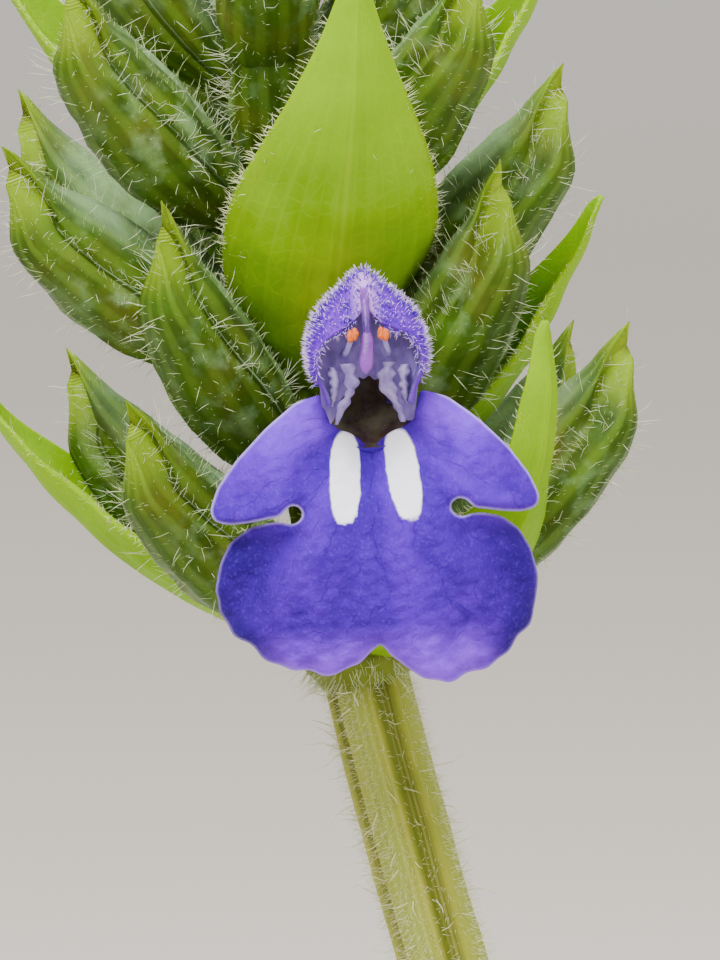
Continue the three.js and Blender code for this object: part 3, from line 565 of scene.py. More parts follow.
def lip_finish(settings):
    """The lower lip: violet-blue with two white patches, radiating veins and specks, painted highlights on
    its rims, folds and lateral lobes, and painted shade on the middle lobe's wings.
    """
    f = living("petal_lip", 0.6, 0.05, VIOLET_GLOW, 0.15, 0.3)
    side = f.math("ABSOLUTE", f.along)
    level = f.across
    cloud = f.noise(1.3, 4)
    f.ground(f.span(cloud, 0.32, 0.68, 0.0, 0.6), settings.petal_colour, settings.petal_dark)
    bloom = f.times(f.patches(0.5, 0.42, 0.7, detail=4), f.span(side, 0.4, 1.4, 0.1, 0.28))
    f.coat(bloom, settings.petal_light)
    # the fan of veins spreads from the throat
    fall = f.math("SUBTRACT", -0.2, level)
    angle = f.math("ARCTAN2", f.along, f.math("MAXIMUM", fall, 0.05))
    wander = f.times(f.math("SUBTRACT", f.noise(0.9, 3), 0.5), 0.5)
    vein = f.math("ABSOLUTE", f.math("SINE", f.times(f.add(angle, wander), 19.0)))
    vein = f.times(f.span(vein, 0.16, 0.0), f.patches(0.5, 0.35, 0.6))
    f.coat(f.times(vein, 0.32), "240c70")
    # the ridges of the folds are lightened as a painted highlight; the same waves also shape the relief
    fold = f.math("SINE", f.times(f.add(angle, f.times(wander, 0.6)), 9.0))
    f.coat(f.span(fold, 0.1, 1.0, 0.0, 0.3), settings.petal_light)
    # painted shade on the middle lobe's outer wings, which fold back away from the light
    wing = f.math("MAXIMUM", f.span(f.along, 1.9, 2.9), f.span(f.along, -1.3, -2.7))
    wing_shade = f.times(wing, f.span(level, -2.3, -2.7))
    f.coat(f.times(wing_shade, f.patches(0.7, 0.3, 0.6, 0.7, 1.0)), "280870")
    # painted highlight on the upper part of the plump lateral lobes
    cheek_highlight = f.times(f.span(side, 1.0, 2.0), f.span(level, -1.9, -1.2))
    cheek_highlight = f.times(cheek_highlight, f.patches(0.8, 0.3, 0.7, 0.2, 0.7))
    f.coat(cheek_highlight, settings.petal_light)
    low = f.times(f.span(level, -4.3, -5.2), f.span(side, 2.6, 1.7))
    high = f.times(f.span(level, -1.1, -0.3), f.span(side, 0.7, 1.2))
    lit = f.times(f.math("MAXIMUM", low, f.times(high, 0.6)), f.patches(0.6, 0.3, 0.6, 0.5, 1.0))
    f.coat(lit, "8a40ff")
    grain = f.noise(0.07, 2)
    f.coat(f.span(grain, 0.5, 0.8, 0.0, 0.2), "7a50f0")
    speck = f.times(f.span(f.cells(0.3, "F1"), 0.012, 0.03, 1.0, 0.0), f.patches(0.8, 0.5, 0.6, detail=2))
    f.coat(f.times(speck, 0.6), "1c0e60")
    # the rim, kept in the third coordinate, gets a painted highlight where the edge turns back
    rim = f.span(f.seed, 0.86, 1.0)
    f.coat(f.times(rim, f.span(level, -2.6, -2.0, 0.4, 0.85)), "b49af4")
    fall = f.math("POWER", f.math("ABSOLUTE", f.add(level, 0.1)), 2.0)
    throat = f.span(f.math("SQRT", f.add(f.times(side, side), fall)), 0.95, 0.45)
    f.coat(f.times(throat, 0.5), "4a2c9c")
    # the two white patches lean outwards and fray at their lower ends
    lean = f.add(0.58, f.times(f.add(level, 1.48), -0.075))
    ragged = f.times(f.math("SUBTRACT", f.noise(0.22, 2), 0.5), 0.07)
    across = f.math("DIVIDE", f.add(f.math("SUBTRACT", side, lean), ragged), 0.305)
    down = f.math("DIVIDE", f.add(level, 1.46), 0.9)
    down = f.add(down, f.times(ragged, f.span(level, -1.9, -2.3, 0.0, 4.5)))
    across = f.math("POWER", f.math("ABSOLUTE", across), 2.3)
    down = f.math("POWER", f.math("ABSOLUTE", down), 3.0)
    patch = f.times(f.span(f.add(across, down), 1.2, 0.85), f.span(f.seed, -0.2, 0.0))
    f.coat(patch, settings.patch_colour)
    crumple = f.noise(0.35, 4)
    relief = f.add(f.add(f.times(fold, 0.35), crumple), f.add(f.times(grain, 0.4), f.times(vein, -0.2)))
    relief = f.times(relief, f.span(patch, 0.0, 1.0, 1.0, 0.25))
    return f.finish(f.span(cloud, 0.3, 0.7, 0.52, 0.66), relief, 0.06)


def hood_finish(settings):
    """The hood: violet outside with a pink keel, greyish lilac inside."""
    f = living("petal_hood", 0.6, 0.15, VIOLET_GLOW, 0.15, 0.3)
    cloud = f.noise(0.5, 3)
    f.ground(f.span(cloud, 0.3, 0.7), "5210a8", "6e20c0")
    keel = f.peak(f.across, 0.0, 0.16)
    f.coat(f.times(keel, 0.85), settings.keel_colour)
    inside = f.blend(f.patches(0.35, 0.3, 0.7), "6a54a8", "4a3c80")
    f.coat(f.span(f.seed, 0.3, -0.3), inside)
    relief = f.add(f.noise(0.08, 2), f.times(cloud, 0.5))
    return f.finish(None, relief, 0.02)


def throat_finish():
    """The throat: lilac walls at its mouth that darken to olive brown as painted shade deeper in, with a
    dusky streak.
    """
    f = Finish("petal_throat", 0.7, Specular_IOR_Level=0.15)
    cloud = f.noise(0.4, 4)
    wall = f.blend(f.span(cloud, 0.3, 0.7), "8672b6", "6c5a9c")
    # deeper in, the walls turn dark olive brown: painted shade inside the tube
    deep = f.blend(f.span(cloud, 0.35, 0.65), "605a44", "46342f")
    f.ground(f.span(f.along, 0.1, 0.5), wall, deep)
    line = f.times(f.span(f.noise(0.6, 3, f.stretch(0.6, 14.0)), 0.48, 0.66), 0.2)
    f.coat(line, "54427c")
    return f.finish(None, f.noise(0.1, 3), 0.02)


def tinted_finish(name, colour, light, size, roughness=0.5, tip=None, **constants):
    """A small organ's finish: two tones in cloudy patches, and a third towards its tip."""
    f = Finish(name, roughness, **constants)
    cloud = f.noise(size, 3)
    f.ground(f.span(cloud, 0.3, 0.7), colour, light)
    if tip is not None:
        f.coat(f.span(f.along, 0.35, 0.85), tip)
    f.coat(f.times(f.patches(size * 0.3, 0.5, 0.7, detail=2), 0.3), light)
    uneven = f.span(cloud, 0.3, 0.7, roughness - 0.08, roughness + 0.08)
    return f.finish(uneven, f.noise(size * 0.4, 2), size * 0.06)


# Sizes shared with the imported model, in millimetres and degrees

# The pot's outer sizes come from the frame
POT_REACH = [round(reach / MM, 3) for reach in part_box("pot")[1]]
POT = {
    "height": POT_REACH[2],
    "rim": POT_REACH[0],
    "body_top": 65,
    "body_top_radius": 45,
    "foot": 32,
    "floor": 5,
    "drain": 6,
}
INNER_FOOT = 28
INNER_RIM = 44
# The pot's inside is rounded up to this height
HEEL = 9
POT_SIDES = 128
# The thrower's rings: their depth, and how fast they follow each other upwards
THROW_DEPTH = 0.09
THROW_TURNS = 1.35
SOIL_LEVEL = 74
SOIL_GAP = 0.3
SOIL_ROWS = 56
SOIL_SIDES = 160

STEM_LINE = [
    [0.3, 0, 42],
    [0, 0, 60],
    [0, 0, 77],
    [0.5, 0.4, 98],
    [1.1, 0.7, 122],
    [1.7, 0.4, 146],
    [2.2, 0, 170],
    [1.8, 0, 186.5],
    [-0.9, 0, 200.5],
    [-6, 0, 220],
]
STEM_RADII = [1.5, 2.2, 2.4, 2.25, 2.05, 1.8, 1.5, 1.2, 1.0, 0.88]
# How far the stem's ridges are turned round it
STEM_TURN = 22
STEM_RIDGES = 4
STEM_ROWS = 220
STEM_SIDES = 64

# Leaf pairs: along the stem line, azimuth, petiole, length, half width, rise and droop
LEAF_PAIRS = [
    (0.3, 70, 10, 29, 9, 24, 46),
    (0.395, -22, 15, 38, 12, 36, 58),
    (0.5, 66, 16, 42, 13, 42, 66),
    (0.605, -26, 12, 35, 10.5, 46, 62),
    (0.71, 62, 7, 24, 7, 50, 54),
]
LEAF_TEETH = 8
LEAF_FOLD = 16
LEAF_HAIRS = 550
TOOTH_DEPTH = 0.11
VEINS = 9
# Where the first side vein starts, how far they all sweep forward, and the power that rounds them
VEIN_START = 0.006
VEIN_SWEEP = 0.17
VEIN_BOW = 0.85

# Side shoots: along the stem, azimuth, reach out and up, lean, whorls and the flower's azimuth
SHOOTS = [
    (0.52, 72, 18, 35, 20, 4, 20),
    (0.52, -110, 16, 37, 18, 4, -60),
    (0.625, -26, 12, 22, 22, 2, None),
    (0.625, 154, 13, 27, 20, 3, None),
]
# Their small leaves: petiole, length, half width, rise and droop
SHOOT_LEAF = (3, 16, 4.2, 44, 50)
SHOOT_LEAF_TEETH = 5
SHOOT_LEAF_HAIRS = 160
SHOOT_FUZZ = 900
STALK_SIDES = 24

# Whorls of the main spike: height along its axis, then azimuth, rise and reach of each calyx
MAIN_WHORLS = [
    (0.8, [(3, 48.5, 6.4), (78, 46, 8.7), (128, 42, 8.3), (-174, 47, 8.0), (-110, 37, 8.5), (-45, 37, 8.5)]),
    (3.6, [(-40, 49, 8.4), (53, 56, 8.5), (158, 42, 8.2), (-148, 42, 8.2)]),
    (6.3, [(-61, 33, 8.5), (122, 38, 8.4), (78, 47, 8.4), (-112, 37, 8.5)]),
    (9.0, [(-46, 42, 8.4), (45, 46, 8.4), (160, 48, 8.0), (-160, 46, 8.0), (-6, 72, 6.8)]),
]
# Rules of the whorls that repeat: first height, step, calyces, rise, reach and shrink
MAIN_TOP = (11.6, 2.3, 4, 54, 7.4, 0.84)
SIDE_SPIKE = (0.8, 3.2, 4, 42, 7.6, 0.84)
MAIN_TOP_WHORLS = 4
SPIKE_LENGTH = 21
SIDE_SPIKE_LENGTH = 12
# Rise and reach of the calyx that holds a side shoot's flower
SIDE_FLOWER = (46, 6.4)
# How thick an axis is where the bracts join it
RACHIS = 0.85
AXIS_SIDES = 28
# The swollen collar at an axis's foot
COLLAR_ROWS = 16
COLLAR_HAIRS = 700

# Bracts: name, place on the axis, azimuth, rise, turn, length and half width
BRACTS = [
    ("front_right", 0.1, 45, 18, 80, 9, 2.4),
    ("left", 0.2, -97, 12, 46, 8.9, 2.6),
    ("low_back", 0.2, 168, 14, 50, 9.6, 2.3),
    ("right", 2.9, 104, 34, 36, 8, 2.3),
    ("front", 5.9, 10, 34, 52, 10.4, 2.2),
    ("high_back", 5.9, -172, 34, 44, 10, 2.1),
    ("upper_left", 8.4, -108, 34, 26, 8.8, 2.0),
    ("upper_right", 8.4, 108, 36, 30, 8.6, 2.0),
]
# Half widths from foot to tip, as shares; the front right bract is drawn out to a long point
BRACT_WIDTHS = [0.26, 0.62, 0.86, 0.98, 1, 0.95, 0.82, 0.62, 0.4, 0.2, 0.06]
DRAWN_OUT_WIDTHS = [0.3, 0.72, 0.94, 1, 0.92, 0.66, 0.4, 0.3, 0.24, 0.16, 0.06]


# Pot and soil
def inner_radius(z):
    return mix(INNER_FOOT, INNER_RIM, (z - POT["floor"]) / (POT["height"] - POT["floor"]))


def rounded(corners, step, passes):
    """A profile's points at even steps, with its corners worn round."""
    corners = np.asarray(corners, float)
    run = np.concatenate([[0], np.cumsum(np.linalg.norm(np.diff(corners, axis=0), axis=1))])
    spots = np.linspace(0, run[-1], int(run[-1] / step) + 1)
    line = np.stack([np.interp(spots, run, corners[:, k]) for k in (0, 1)], -1)
    for _ in range(passes):
        line[1:-1] = line[:-2] * 0.25 + line[1:-1] * 0.5 + line[2:] * 0.25
    return line


def turned(profile, sides, wobble=0.0, seed=1):
    """Rings of a thrown form round the upright axis, a little out of true."""
    angles = full_turn(sides)
    circle = np.stack([np.cos(angles), np.sin(angles), np.zeros(sides)], -1)
    rings = profile[:, :1, None] * circle[None] + profile[:, 1][:, None, None] * UP
    return rings * (1 + wobble * ripple(rings, 30, seed)[..., None] * np.array([1, 1, 0]))


def make_pot(settings):
    rim, top, drain = POT["rim"], POT["height"], POT["drain"]
    body_top = POT["body_top"]
    corners = [
        (drain, 0),
        (POT["foot"] - 0.6, 0),
        (POT["foot"] + 0.1, 1),
        (POT["body_top_radius"] - 1, body_top),
        (rim - 1.0, body_top + 0.4),
        (rim - 0.4, body_top + 2.4),
        (rim, top - 2.4),
        (rim - 0.8, top),
        (INNER_RIM + 0.8, top),
        (inner_radius(top - 1.2), top - 1.2),
        (inner_radius(HEEL), HEEL),
        (INNER_FOOT - 3, POT["floor"]),
        (drain, POT["floor"]),
        (drain, 0),
    ]
    profile = rounded(corners, 1.3, 2)
    height = profile[:, 1]
    profile[:, 0] += THROW_DEPTH * np.sin(height * THROW_TURNS) * smooth(4, 10, height)
    draft = Draft()
    add_rings(draft, turned(profile, POT_SIDES, settings.wobble), np.zeros(3), ends=False)
    draft.piece("clay_pot", [clay_finish(settings)], "clay", ["pot"])


def soil_height(x, y):
    """The soil's uneven top: wide waves, clods, crumbs and a rise round the stem."""
    wide = 0.5 * np.sin(x * 0.31 + 1.7 * np.sin(y * 0.17))
    wide = wide + 0.5 * np.sin(y * 0.37 + 1.3 * np.sin(x * 0.23 + 2))
    spots = np.stack([x, y, np.zeros_like(x)], -1)
    near_stem = 0.9 * bell(np.hypot(x, y) - 3.5, 4.0)
    clods, crumbs = 0.45 * ripple(spots, 4.5, 3), 0.28 * ripple(spots, 1.9, 4)
    return SOIL_LEVEL + 1.1 * wide + clods + crumbs + near_stem


def add_lumps(draft, spots, sizes, rng):
    """Rough little lumps, each squashed and turned its own way."""
    rings, sides = 4, 6
    tilt = np.linspace(0.35, math.pi - 0.35, rings)[:, None]
    turn = full_turn(sides)[None]
    ball = np.stack([np.sin(tilt) * np.cos(turn), np.sin(tilt) * np.sin(turn), np.cos(tilt) + 0 * turn], -1)
    for spot, size in zip(spots, sizes):
        axes = np.linalg.qr(rng.normal(size=(3, 3)))[0]
        rough = ball * rng.uniform(0.75, 1.2, size=(rings, sides, 1)) * rng.uniform(0.55, 1.1, size=3)
        pale = rng.uniform()
        add_rings(draft, rough @ axes * size + spot, np.array([pale, float(pale > 0.93), 0.0]))


def make_soil(settings):
    wall = inner_radius(SOIL_LEVEL) - SOIL_GAP - 0.2
    foot = POT["floor"] + SOIL_GAP
    top = [(wall * share, SOIL_LEVEL) for share in np.linspace(0.995, 0.0, SOIL_ROWS)[:-1]]
    corners = [
        (0.01, foot),
        (INNER_FOOT - 3 - SOIL_GAP, foot),
        (inner_radius(HEEL) - SOIL_GAP - 0.2, HEEL),
        (wall, SOIL_LEVEL - 1.5),
    ]
    rings = turned(np.array(corners + top), SOIL_SIDES)
    surface = rings[len(corners):]
    x, y = surface[..., 0], surface[..., 1]
    surface[..., 2] = soil_height(x, y) - 1.4 * smooth(0.94, 1.0, np.hypot(x, y) / wall)
    draft = Draft()
    add_rings(draft, rings, np.zeros(3))
    rng = np.random.default_rng(5)
    reach = (wall - 1.2) * np.sqrt(rng.uniform(0.004, 1, settings.crumbs))
    turn = rng.uniform(0, 2 * math.pi, len(reach))
    x, y = reach * np.cos(turn), reach * np.sin(turn)
    sizes = 0.35 + 1.15 * rng.uniform(size=len(reach)) ** 3
    add_lumps(draft, np.stack([x, y, soil_height(x, y) + sizes * 0.2], -1), sizes, rng)
    draft.piece("potting_soil", [soil_finish(settings)], "soil", ["soil"])


# Stem
def stem_point(t):
    return curve_points(STEM_LINE, t)[0]


def stem_radius(t):
    return read_along(STEM_RADII, t)


def make_stem(settings):
    t = np.linspace(0, 1, STEM_ROWS)
    line = curve_points(STEM_LINE, t)
    line[-1] += np.array([-0.1, 0, 0.45])
    swelling = np.max([np.clip(1 - np.abs(t - pair[0]) / 0.02, 0, 1) for pair in LEAF_PAIRS], axis=0)
    radii = stem_radius(t) * (1 + 0.16 * smooth(0, 1, swelling))
    quarter = np.cos(STEM_RIDGES * full_turn(STEM_SIDES))
    shape = 0.985 - 0.09 * quarter - 0.10 * np.clip(quarter, 0, 1) ** 4
    rings = tube_rings(line, radii, sideways(STEM_TURN), STEM_SIDES, shape)
    rings += unit(rings - line[:, None]) * (0.025 * ripple(rings, 2.2, 8))[..., None]
    places = tube_places(STEM_ROWS, STEM_SIDES)
    draft = Draft()
    add_rings(draft, rings, places)
    rng = np.random.default_rng(12)
    closed = np.concatenate([rings, rings[:, :1]], axis=1)
    spots = np.concatenate([places, places[:, :1] + np.array([0, 1, 0])], axis=1)

    def fuzz(count, share, length, radius, bend):
        roots, normals, _ = scatter(closed, spots, count, rng, share)
        lean = normals + 0.45 * UP * rng.uniform(-1, 1, size=(count, 1))
        lean = lean + 0.25 * rng.normal(size=(count, 3))
        add_hairs(draft, roots, lean, length * rng.uniform(0.5, 1.2, count), radius, rng, bend, slot=1)

    def on_ridges(where, low, high):
        ridge = np.clip(-np.cos(2 * STEM_RIDGES * math.pi * where[:, 1]), 0, 1)
        return (0.25 + ridge) * smooth(low, high, where[:, 0])

    length = settings.hair_length
    fuzz(9000, lambda where: on_ridges(where, 0.88, 0.95), length * 0.5, 0.0062, 0)
    fuzz(5200, lambda where: on_ridges(where, 0.2, 0.24), length * 1.2, 0.016, 0.5)
    hair = tinted_finish("stem_hair", "c8c88c", "e2e2bc", 3.0, 0.5, Specular_IOR_Level=0.3)
    draft.piece("ridged_stem", [stem_finish(settings), hair], "stem", ["stem"])


# Leaves
def leaf_frames(azimuth, length, rise, droop, foot, u):
    """The blade's middle line and the directions square to it, at shares u of its length."""
    pitch = rise - droop * u
    tangents = np.array([rising(azimuth, p) for p in pitch])
    steps = np.diff(u, prepend=u[0])[:, None] * length
    normals = np.array([rising(azimuth, p + 90) for p in pitch])
    return foot + np.cumsum(tangents * steps, axis=0), normals


def tooth_shape(u, teeth):
    """1 at each tooth's point and 0 in each notch."""
    phase = np.clip((u - 0.05) / 0.9, 0, 0.9999) * teeth % 1
    return np.where(phase < 0.68, np.sin(phase / 0.68 * math.pi / 2) ** 1.3, 1 - smooth(0.68, 1, phase))


def leaf_grid(spec, foot, teeth, seed, rows, columns):
    """The blade's surface from foot to tip, with normals, coordinates and its middle line."""
    azimuth, _, length, width, rise, droop = spec
    u = np.linspace(0.004, 0.996, rows)
    v = np.linspace(-1, 1, columns)
    places, normals = leaf_frames(azimuth, length, rise, droop, foot, u)
    outline = u**0.5 * (1 - u) ** 1.1 / (0.3125**0.5 * 0.6875**1.1)
    notch = TOOTH_DEPTH * 1.15 * (1 - tooth_shape(u, teeth)) * smooth(0.02, 0.07, u)
    half = np.maximum(width * outline, 0.12)
    reach = np.abs(v)[None]
    x = v[None] * half[:, None] * (1 - notch[:, None] * smooth(0.45, 1, reach))
    fold = math.radians(LEAF_FOLD)
    size = width / 12
    wave = 0.05 * width * np.sin(9 * u + 3 * vary(seed, 1))[:, None] * v
    ruffle = 0.055 * width * np.sin(teeth * 7 * u + 2 * vary(seed, 2))[:, None] * reach**3
    turn = (u[:, None] - VEIN_SWEEP * reach**VEIN_BOW + VEIN_START) * VEINS % 1
    vein = bell(np.minimum(turn, 1 - turn), 0.11) * (1 - 0.6 * reach)
    puff = np.sin(math.pi * turn) ** 0.8 * np.sin(math.pi * np.clip(reach, 0, 1)) ** 0.5
    relief = size * (0.42 * puff - 0.2 * vein - 0.3 * bell(reach, 0.07)) * smooth(0, 0.1, u)[:, None]
    lift = np.abs(x) * math.sin(fold) * (1 - 0.7 * u)[:, None] - 0.16 * width * reach**4
    side = sideways(azimuth)
    grid = places[:, None] + x[..., None] * math.cos(fold) * side
    grid = grid + (lift + wave + ruffle + relief)[..., None] * normals[:, None]
    grid = grid + 0.05 * size * ripple(grid, 1.7, seed + 20)[..., None] * normals[:, None]
    coordinates = np.stack(np.broadcast_arrays(u[:, None], v[None], abs(vary(seed, 5))), -1)
    return grid, surface_normals(grid), coordinates, places, normals


def add_leaf(draft, spec, foot, teeth, seed, fine, hairs, slot=0, hair_slot=1):
    """One leaf: its blade, the petiole that runs on as a midrib, and its short hairs."""
    azimuth, petiole, length, _, rise, _ = spec
    rows, columns = (teeth * 10 + 1, 29) if fine else (teeth * 7 + 1, 15)
    start = rising(azimuth, rise)
    grid, normals, places, line, square = leaf_grid(spec, foot + start * petiole, teeth, seed, rows, columns)
    thickness = 0.34 * (1 - 0.45 * np.abs(places[..., 1]) ** 3)
    add_sheet(draft, grid, -normals, thickness, places, slot)
    thick = mix(0.55, 0.95, min(max((length - 18) / 34, 0), 1))
    shares = np.linspace(0, 1, 12)[:, None]
    stalk = foot + start * petiole * shares
    run = np.linspace(0, 1, len(line[::4]))
    below = line[::4] - square[::4] * (0.16 + 0.3 * thick * (1 - run))[:, None]
    path = np.vstack([stalk[:-1], below])
    radii = np.concatenate([mix(1.25, 0.95, shares[:-1, 0]), mix(0.9, 0.14, run**0.6)]) * thick
    add_rings(draft, tube_rings(path, radii, sideways(azimuth), 12), np.array([0.5, 0.0, -1.0]), slot)
    rng = np.random.default_rng(100 + seed)

    def share(where):
        return 0.4 + 2.5 * smooth(0.9, 1, np.abs(where[:, 1]))

    roots, out, _ = scatter(grid, places, hairs, rng, share)
    facing = np.where(rng.uniform(size=(hairs, 1)) < 0.6, 1.0, -1.0) * np.sign(out @ UP)[:, None]
    lean = out * facing + 0.4 * rng.normal(size=(hairs, 3))
    add_hairs(draft, roots, lean, rng.uniform(0.3, 0.75, hairs), 0.014, rng, bend=0, slot=hair_slot)


def make_leaves(settings):
    skin = leaf_finish(settings)
    hair = tinted_finish("leaf_hair", "cfdca8", "e4ecd0", 3.0, 0.45)
    for k, (along, azimuth, petiole, length, width, rise, droop) in enumerate(LEAF_PAIRS):
        for label, turn in (("a", 0), ("b", 180)):
            own = length * (1 + 0.03 * vary(k, turn))
            draft = Draft()
            spec = (azimuth + turn, petiole, own, width, rise, droop)
            add_leaf(draft, spec, stem_point(along), LEAF_TEETH, k * 2 + (turn > 0), True, LEAF_HAIRS)
            name = f"{k + 1}{label}"
            draft.piece(f"leaf_blade_{name}", [skin, hair], "leaf", [f"leaf_{name}"])


# Spikes
class Axis:
    """A spike's bent axis: it leans by lean at its foot and by tip_lean at its length."""

    def __init__(self, foot, azimuth, lean, tip_lean, length):
        self.foot = foot
        self.azimuth = azimuth
        self.lean = math.radians(lean)
        self.bend = math.radians(tip_lean - lean) / length

    def point(self, distance):
        lean, end = self.lean, self.lean + self.bend * distance
        out = (math.cos(lean) - math.cos(end)) / self.bend
        up = (math.sin(end) - math.sin(lean)) / self.bend
        return self.foot + outward(self.azimuth) * out + UP * up


def ruled_whorls(rule, count, seed):
    first, step, around, rise, reach, shrink = rule
    whorls = []
    for k in range(count):
        calyces = [
            (
                360 * i / around + 180 / around * k + 7 * vary(seed + k, i),
                min(rise + 8 * k + 4 * vary(seed + i, k), 84),
                reach * shrink**k,
            )
            for i in range(around)
        ]
        whorls.append((first + step * k * (1 - 0.06 * k), calyces))
    return whorls


CALYX_REACH = 8.3
CALYX_RIBS = 13
# A calyx's girth along its length, as shares of both
CALYX_GIRTH = [
    (0, 0.1), (0.08, 0.3), (0.16, 0.5), (0.3, 0.84), (0.46, 1),
    (0.62, 0.96), (0.75, 0.76), (0.86, 0.46), (0.94, 0.2), (1, 0.02),
]


def calyx_grid(root, azimuth, rise, reach, seed, rows, sides, agape=0.0):
    """A calyx's skin: a ribbed pod that closes in an upper and a lower pointed lip."""
    s = np.linspace(0.02, 1, rows)[:, None]
    turn = full_turn(sides)[None]
    size = reach / CALYX_REACH
    girth = np.interp(s, *zip(*CALYX_GIRTH))
    height, width = np.sin(turn), np.cos(turn)
    mouth = bell(height, 0.3)
    crease = 0.32 * mouth * smooth(0.5, 0.72, s)
    ribs = 0.022 * np.cos(CALYX_RIBS * turn) * smooth(1, 0.75, s) * smooth(0, 0.2, s)
    keel = 0.17 * bell(turn - math.pi / 2, 0.3) * smooth(0.2, 0.6, s)
    swell = girth * (1 + ribs + keel - crease)
    side = 1.14 * size * swell * width
    lip = np.where(height > 0, 0.16 + agape, -0.42 - agape) * smooth(0, 0.45, np.abs(height))
    sag = 0.3 * s * (s - 1) * reach
    deep = size * (1.08 * swell * height + lip * smooth(0.62, 1, s) + 0.3 * smooth(0.8, 1, s)) + sag
    along = s - 0.11 * mouth * smooth(0.7, 1, s) - 0.06 * smooth(0.1, -0.5, height) * smooth(0.8, 1, s)
    grid = root + (along * reach)[..., None] * rising(azimuth, rise)
    up = rising(azimuth, rise + 90)
    grid = grid + side[..., None] * sideways(azimuth) + deep[..., None] * up
    outer = unit(side[..., None] * sideways(azimuth) + (deep - sag)[..., None] * up)
    grid = grid + outer * (0.035 * size * ripple(grid, 1.1, seed))[..., None]
    places = np.stack(np.broadcast_arrays(s, turn / (2 * math.pi), abs(vary(seed, 4))), -1)
    return grid, places


def add_calyx_hairs(draft, grid, places, rng, long, short, length, slot=0, bend=0.3):
    """Long wandering hairs on the ribs and lips, and a short nap between them."""
    closed = np.concatenate([grid, grid[:, :1]], axis=1)
    spots = np.concatenate([places, places[:, :1] + np.array([0, 1, 0])], axis=1)
    tip = unit(grid[-1].mean(0) - grid[0].mean(0))

    def share(where):
        edge = np.minimum(np.abs(where[:, 1] % 0.5), 0.5 - where[:, 1] % 0.5)
        lips = 1.8 * bell(edge, 0.04) * smooth(0.3, 0.6, where[:, 0])
        return 0.3 + lips + 1.2 * smooth(0.45, 0.1, where[:, 0])

    roots, normals, _ = scatter(closed, spots, long, rng, share)
    lean = normals + tip * rng.uniform(-0.1, 0.8, size=(long, 1)) + 0.22 * rng.normal(size=(long, 3))
    add_hairs(draft, roots, lean, length * rng.uniform(0.4, 1.5, long), 0.0062, rng, bend, slot)
    roots, normals, _ = scatter(closed, spots, short, rng)
    lean = normals + tip * 0.8 + 0.3 * rng.normal(size=(short, 3))
    lengths = length * rng.uniform(0.14, 0.36, short)
    add_hairs(draft, roots, lean, lengths, 0.005, rng, bend=0, slot=slot, kind=1.0)


def make_axis(draft, axis, length, foot):
    """The spike's axis with the swollen collar that the lowest bracts and calyces sit on."""
    reach = np.concatenate([np.linspace(-0.28, 1.0, COLLAR_ROWS), np.linspace(1.4, length, 20)])
    line = np.array([axis.point(d) for d in reach])
    radii = mix(foot, 0.3, np.clip(reach / length, 0, 1)) + 0.3 * foot * bell(reach - 0.28, 0.36)
    shape = 1 + 0.02 * np.cos(np.arange(AXIS_SIDES) * math.pi / 2)
    rings = tube_rings(line, radii, sideways(0), AXIS_SIDES, shape)
    places = tube_places(len(line), AXIS_SIDES) * [0.3, 1, 1]
    add_rings(draft, rings, places)
    return rings, places


MAIN_FOOT = stem_point(1) + UP * 0.3
MAIN_AXIS = Axis(MAIN_FOOT, -90, 13, 2, SPIKE_LENGTH)
FRONT_CALYX = MAIN_WHORLS[0][1][0]
FLOWER_ROOT = MAIN_AXIS.point(MAIN_WHORLS[0][0])


def hair_finish():
    """White hairs with a green foot; those of the short nap stay greener."""
    f = Finish("white_hair", 0.5, Specular_IOR_Level=0.3)
    green = f.blend(f.patches(1.2, 0.3, 0.7), "8aa84a", "a8c070")
    white = f.blend(f.across, "c6d296", "eef2da")
    f.ground(f.span(f.along, 0.0, 0.5, 0.35, 1.0), green, white)
    f.coat(f.times(f.seed, 0.65), green)
    return f.finish()


def make_spike(settings):
    body, lower, upper = Draft(), Draft(), Draft()
    rings, places = make_axis(body, MAIN_AXIS, SPIKE_LENGTH, 1.0)
    rng = np.random.default_rng(21)
    roots, out, _ = scatter(rings[:COLLAR_ROWS], places[:COLLAR_ROWS], COLLAR_HAIRS, rng)
    lean = out - 0.25 * UP + 0.3 * rng.normal(size=(COLLAR_HAIRS, 3))
    lengths = settings.hair_length * rng.uniform(0.3, 1.3, COLLAR_HAIRS)
    add_hairs(lower, roots, lean, lengths, 0.0065, rng, bend=0.4)
    whorls = MAIN_WHORLS + ruled_whorls(MAIN_TOP, MAIN_TOP_WHORLS, 3)
    for k, (at, calyces) in enumerate(whorls):
        for i, (azimuth, rise, reach) in enumerate(calyces):
            flowering = (k, i) == (0, 0)
            # the calyces that face the flower's side are the finest
            near = k < len(MAIN_WHORLS) and math.cos(math.radians(azimuth)) > -0.4
            rows, sides, long, short = (30, 52, 520, 800) if near else (22, 40, 260, 300)
            gape = 0.25 * flowering
            grid, places = calyx_grid(MAIN_AXIS.point(at), azimuth, rise, reach, k * 7 + i, rows, sides, gape)
            add_rings(body, grid, places)
            share = reach / CALYX_REACH
            hairs = lower if k < 3 else upper
            counts = int(long * share), int(short * share)
            add_calyx_hairs(hairs, grid, places, rng, *counts, settings.hair_length)
    body.piece("main_spike", [calyx_finish(settings)], "calyx", ["spike"])
    hair = hair_finish()
    lower.piece("main_spike_hairs_lower", [hair], "calyx")
    upper.piece("main_spike_hairs_upper", [hair], "calyx")


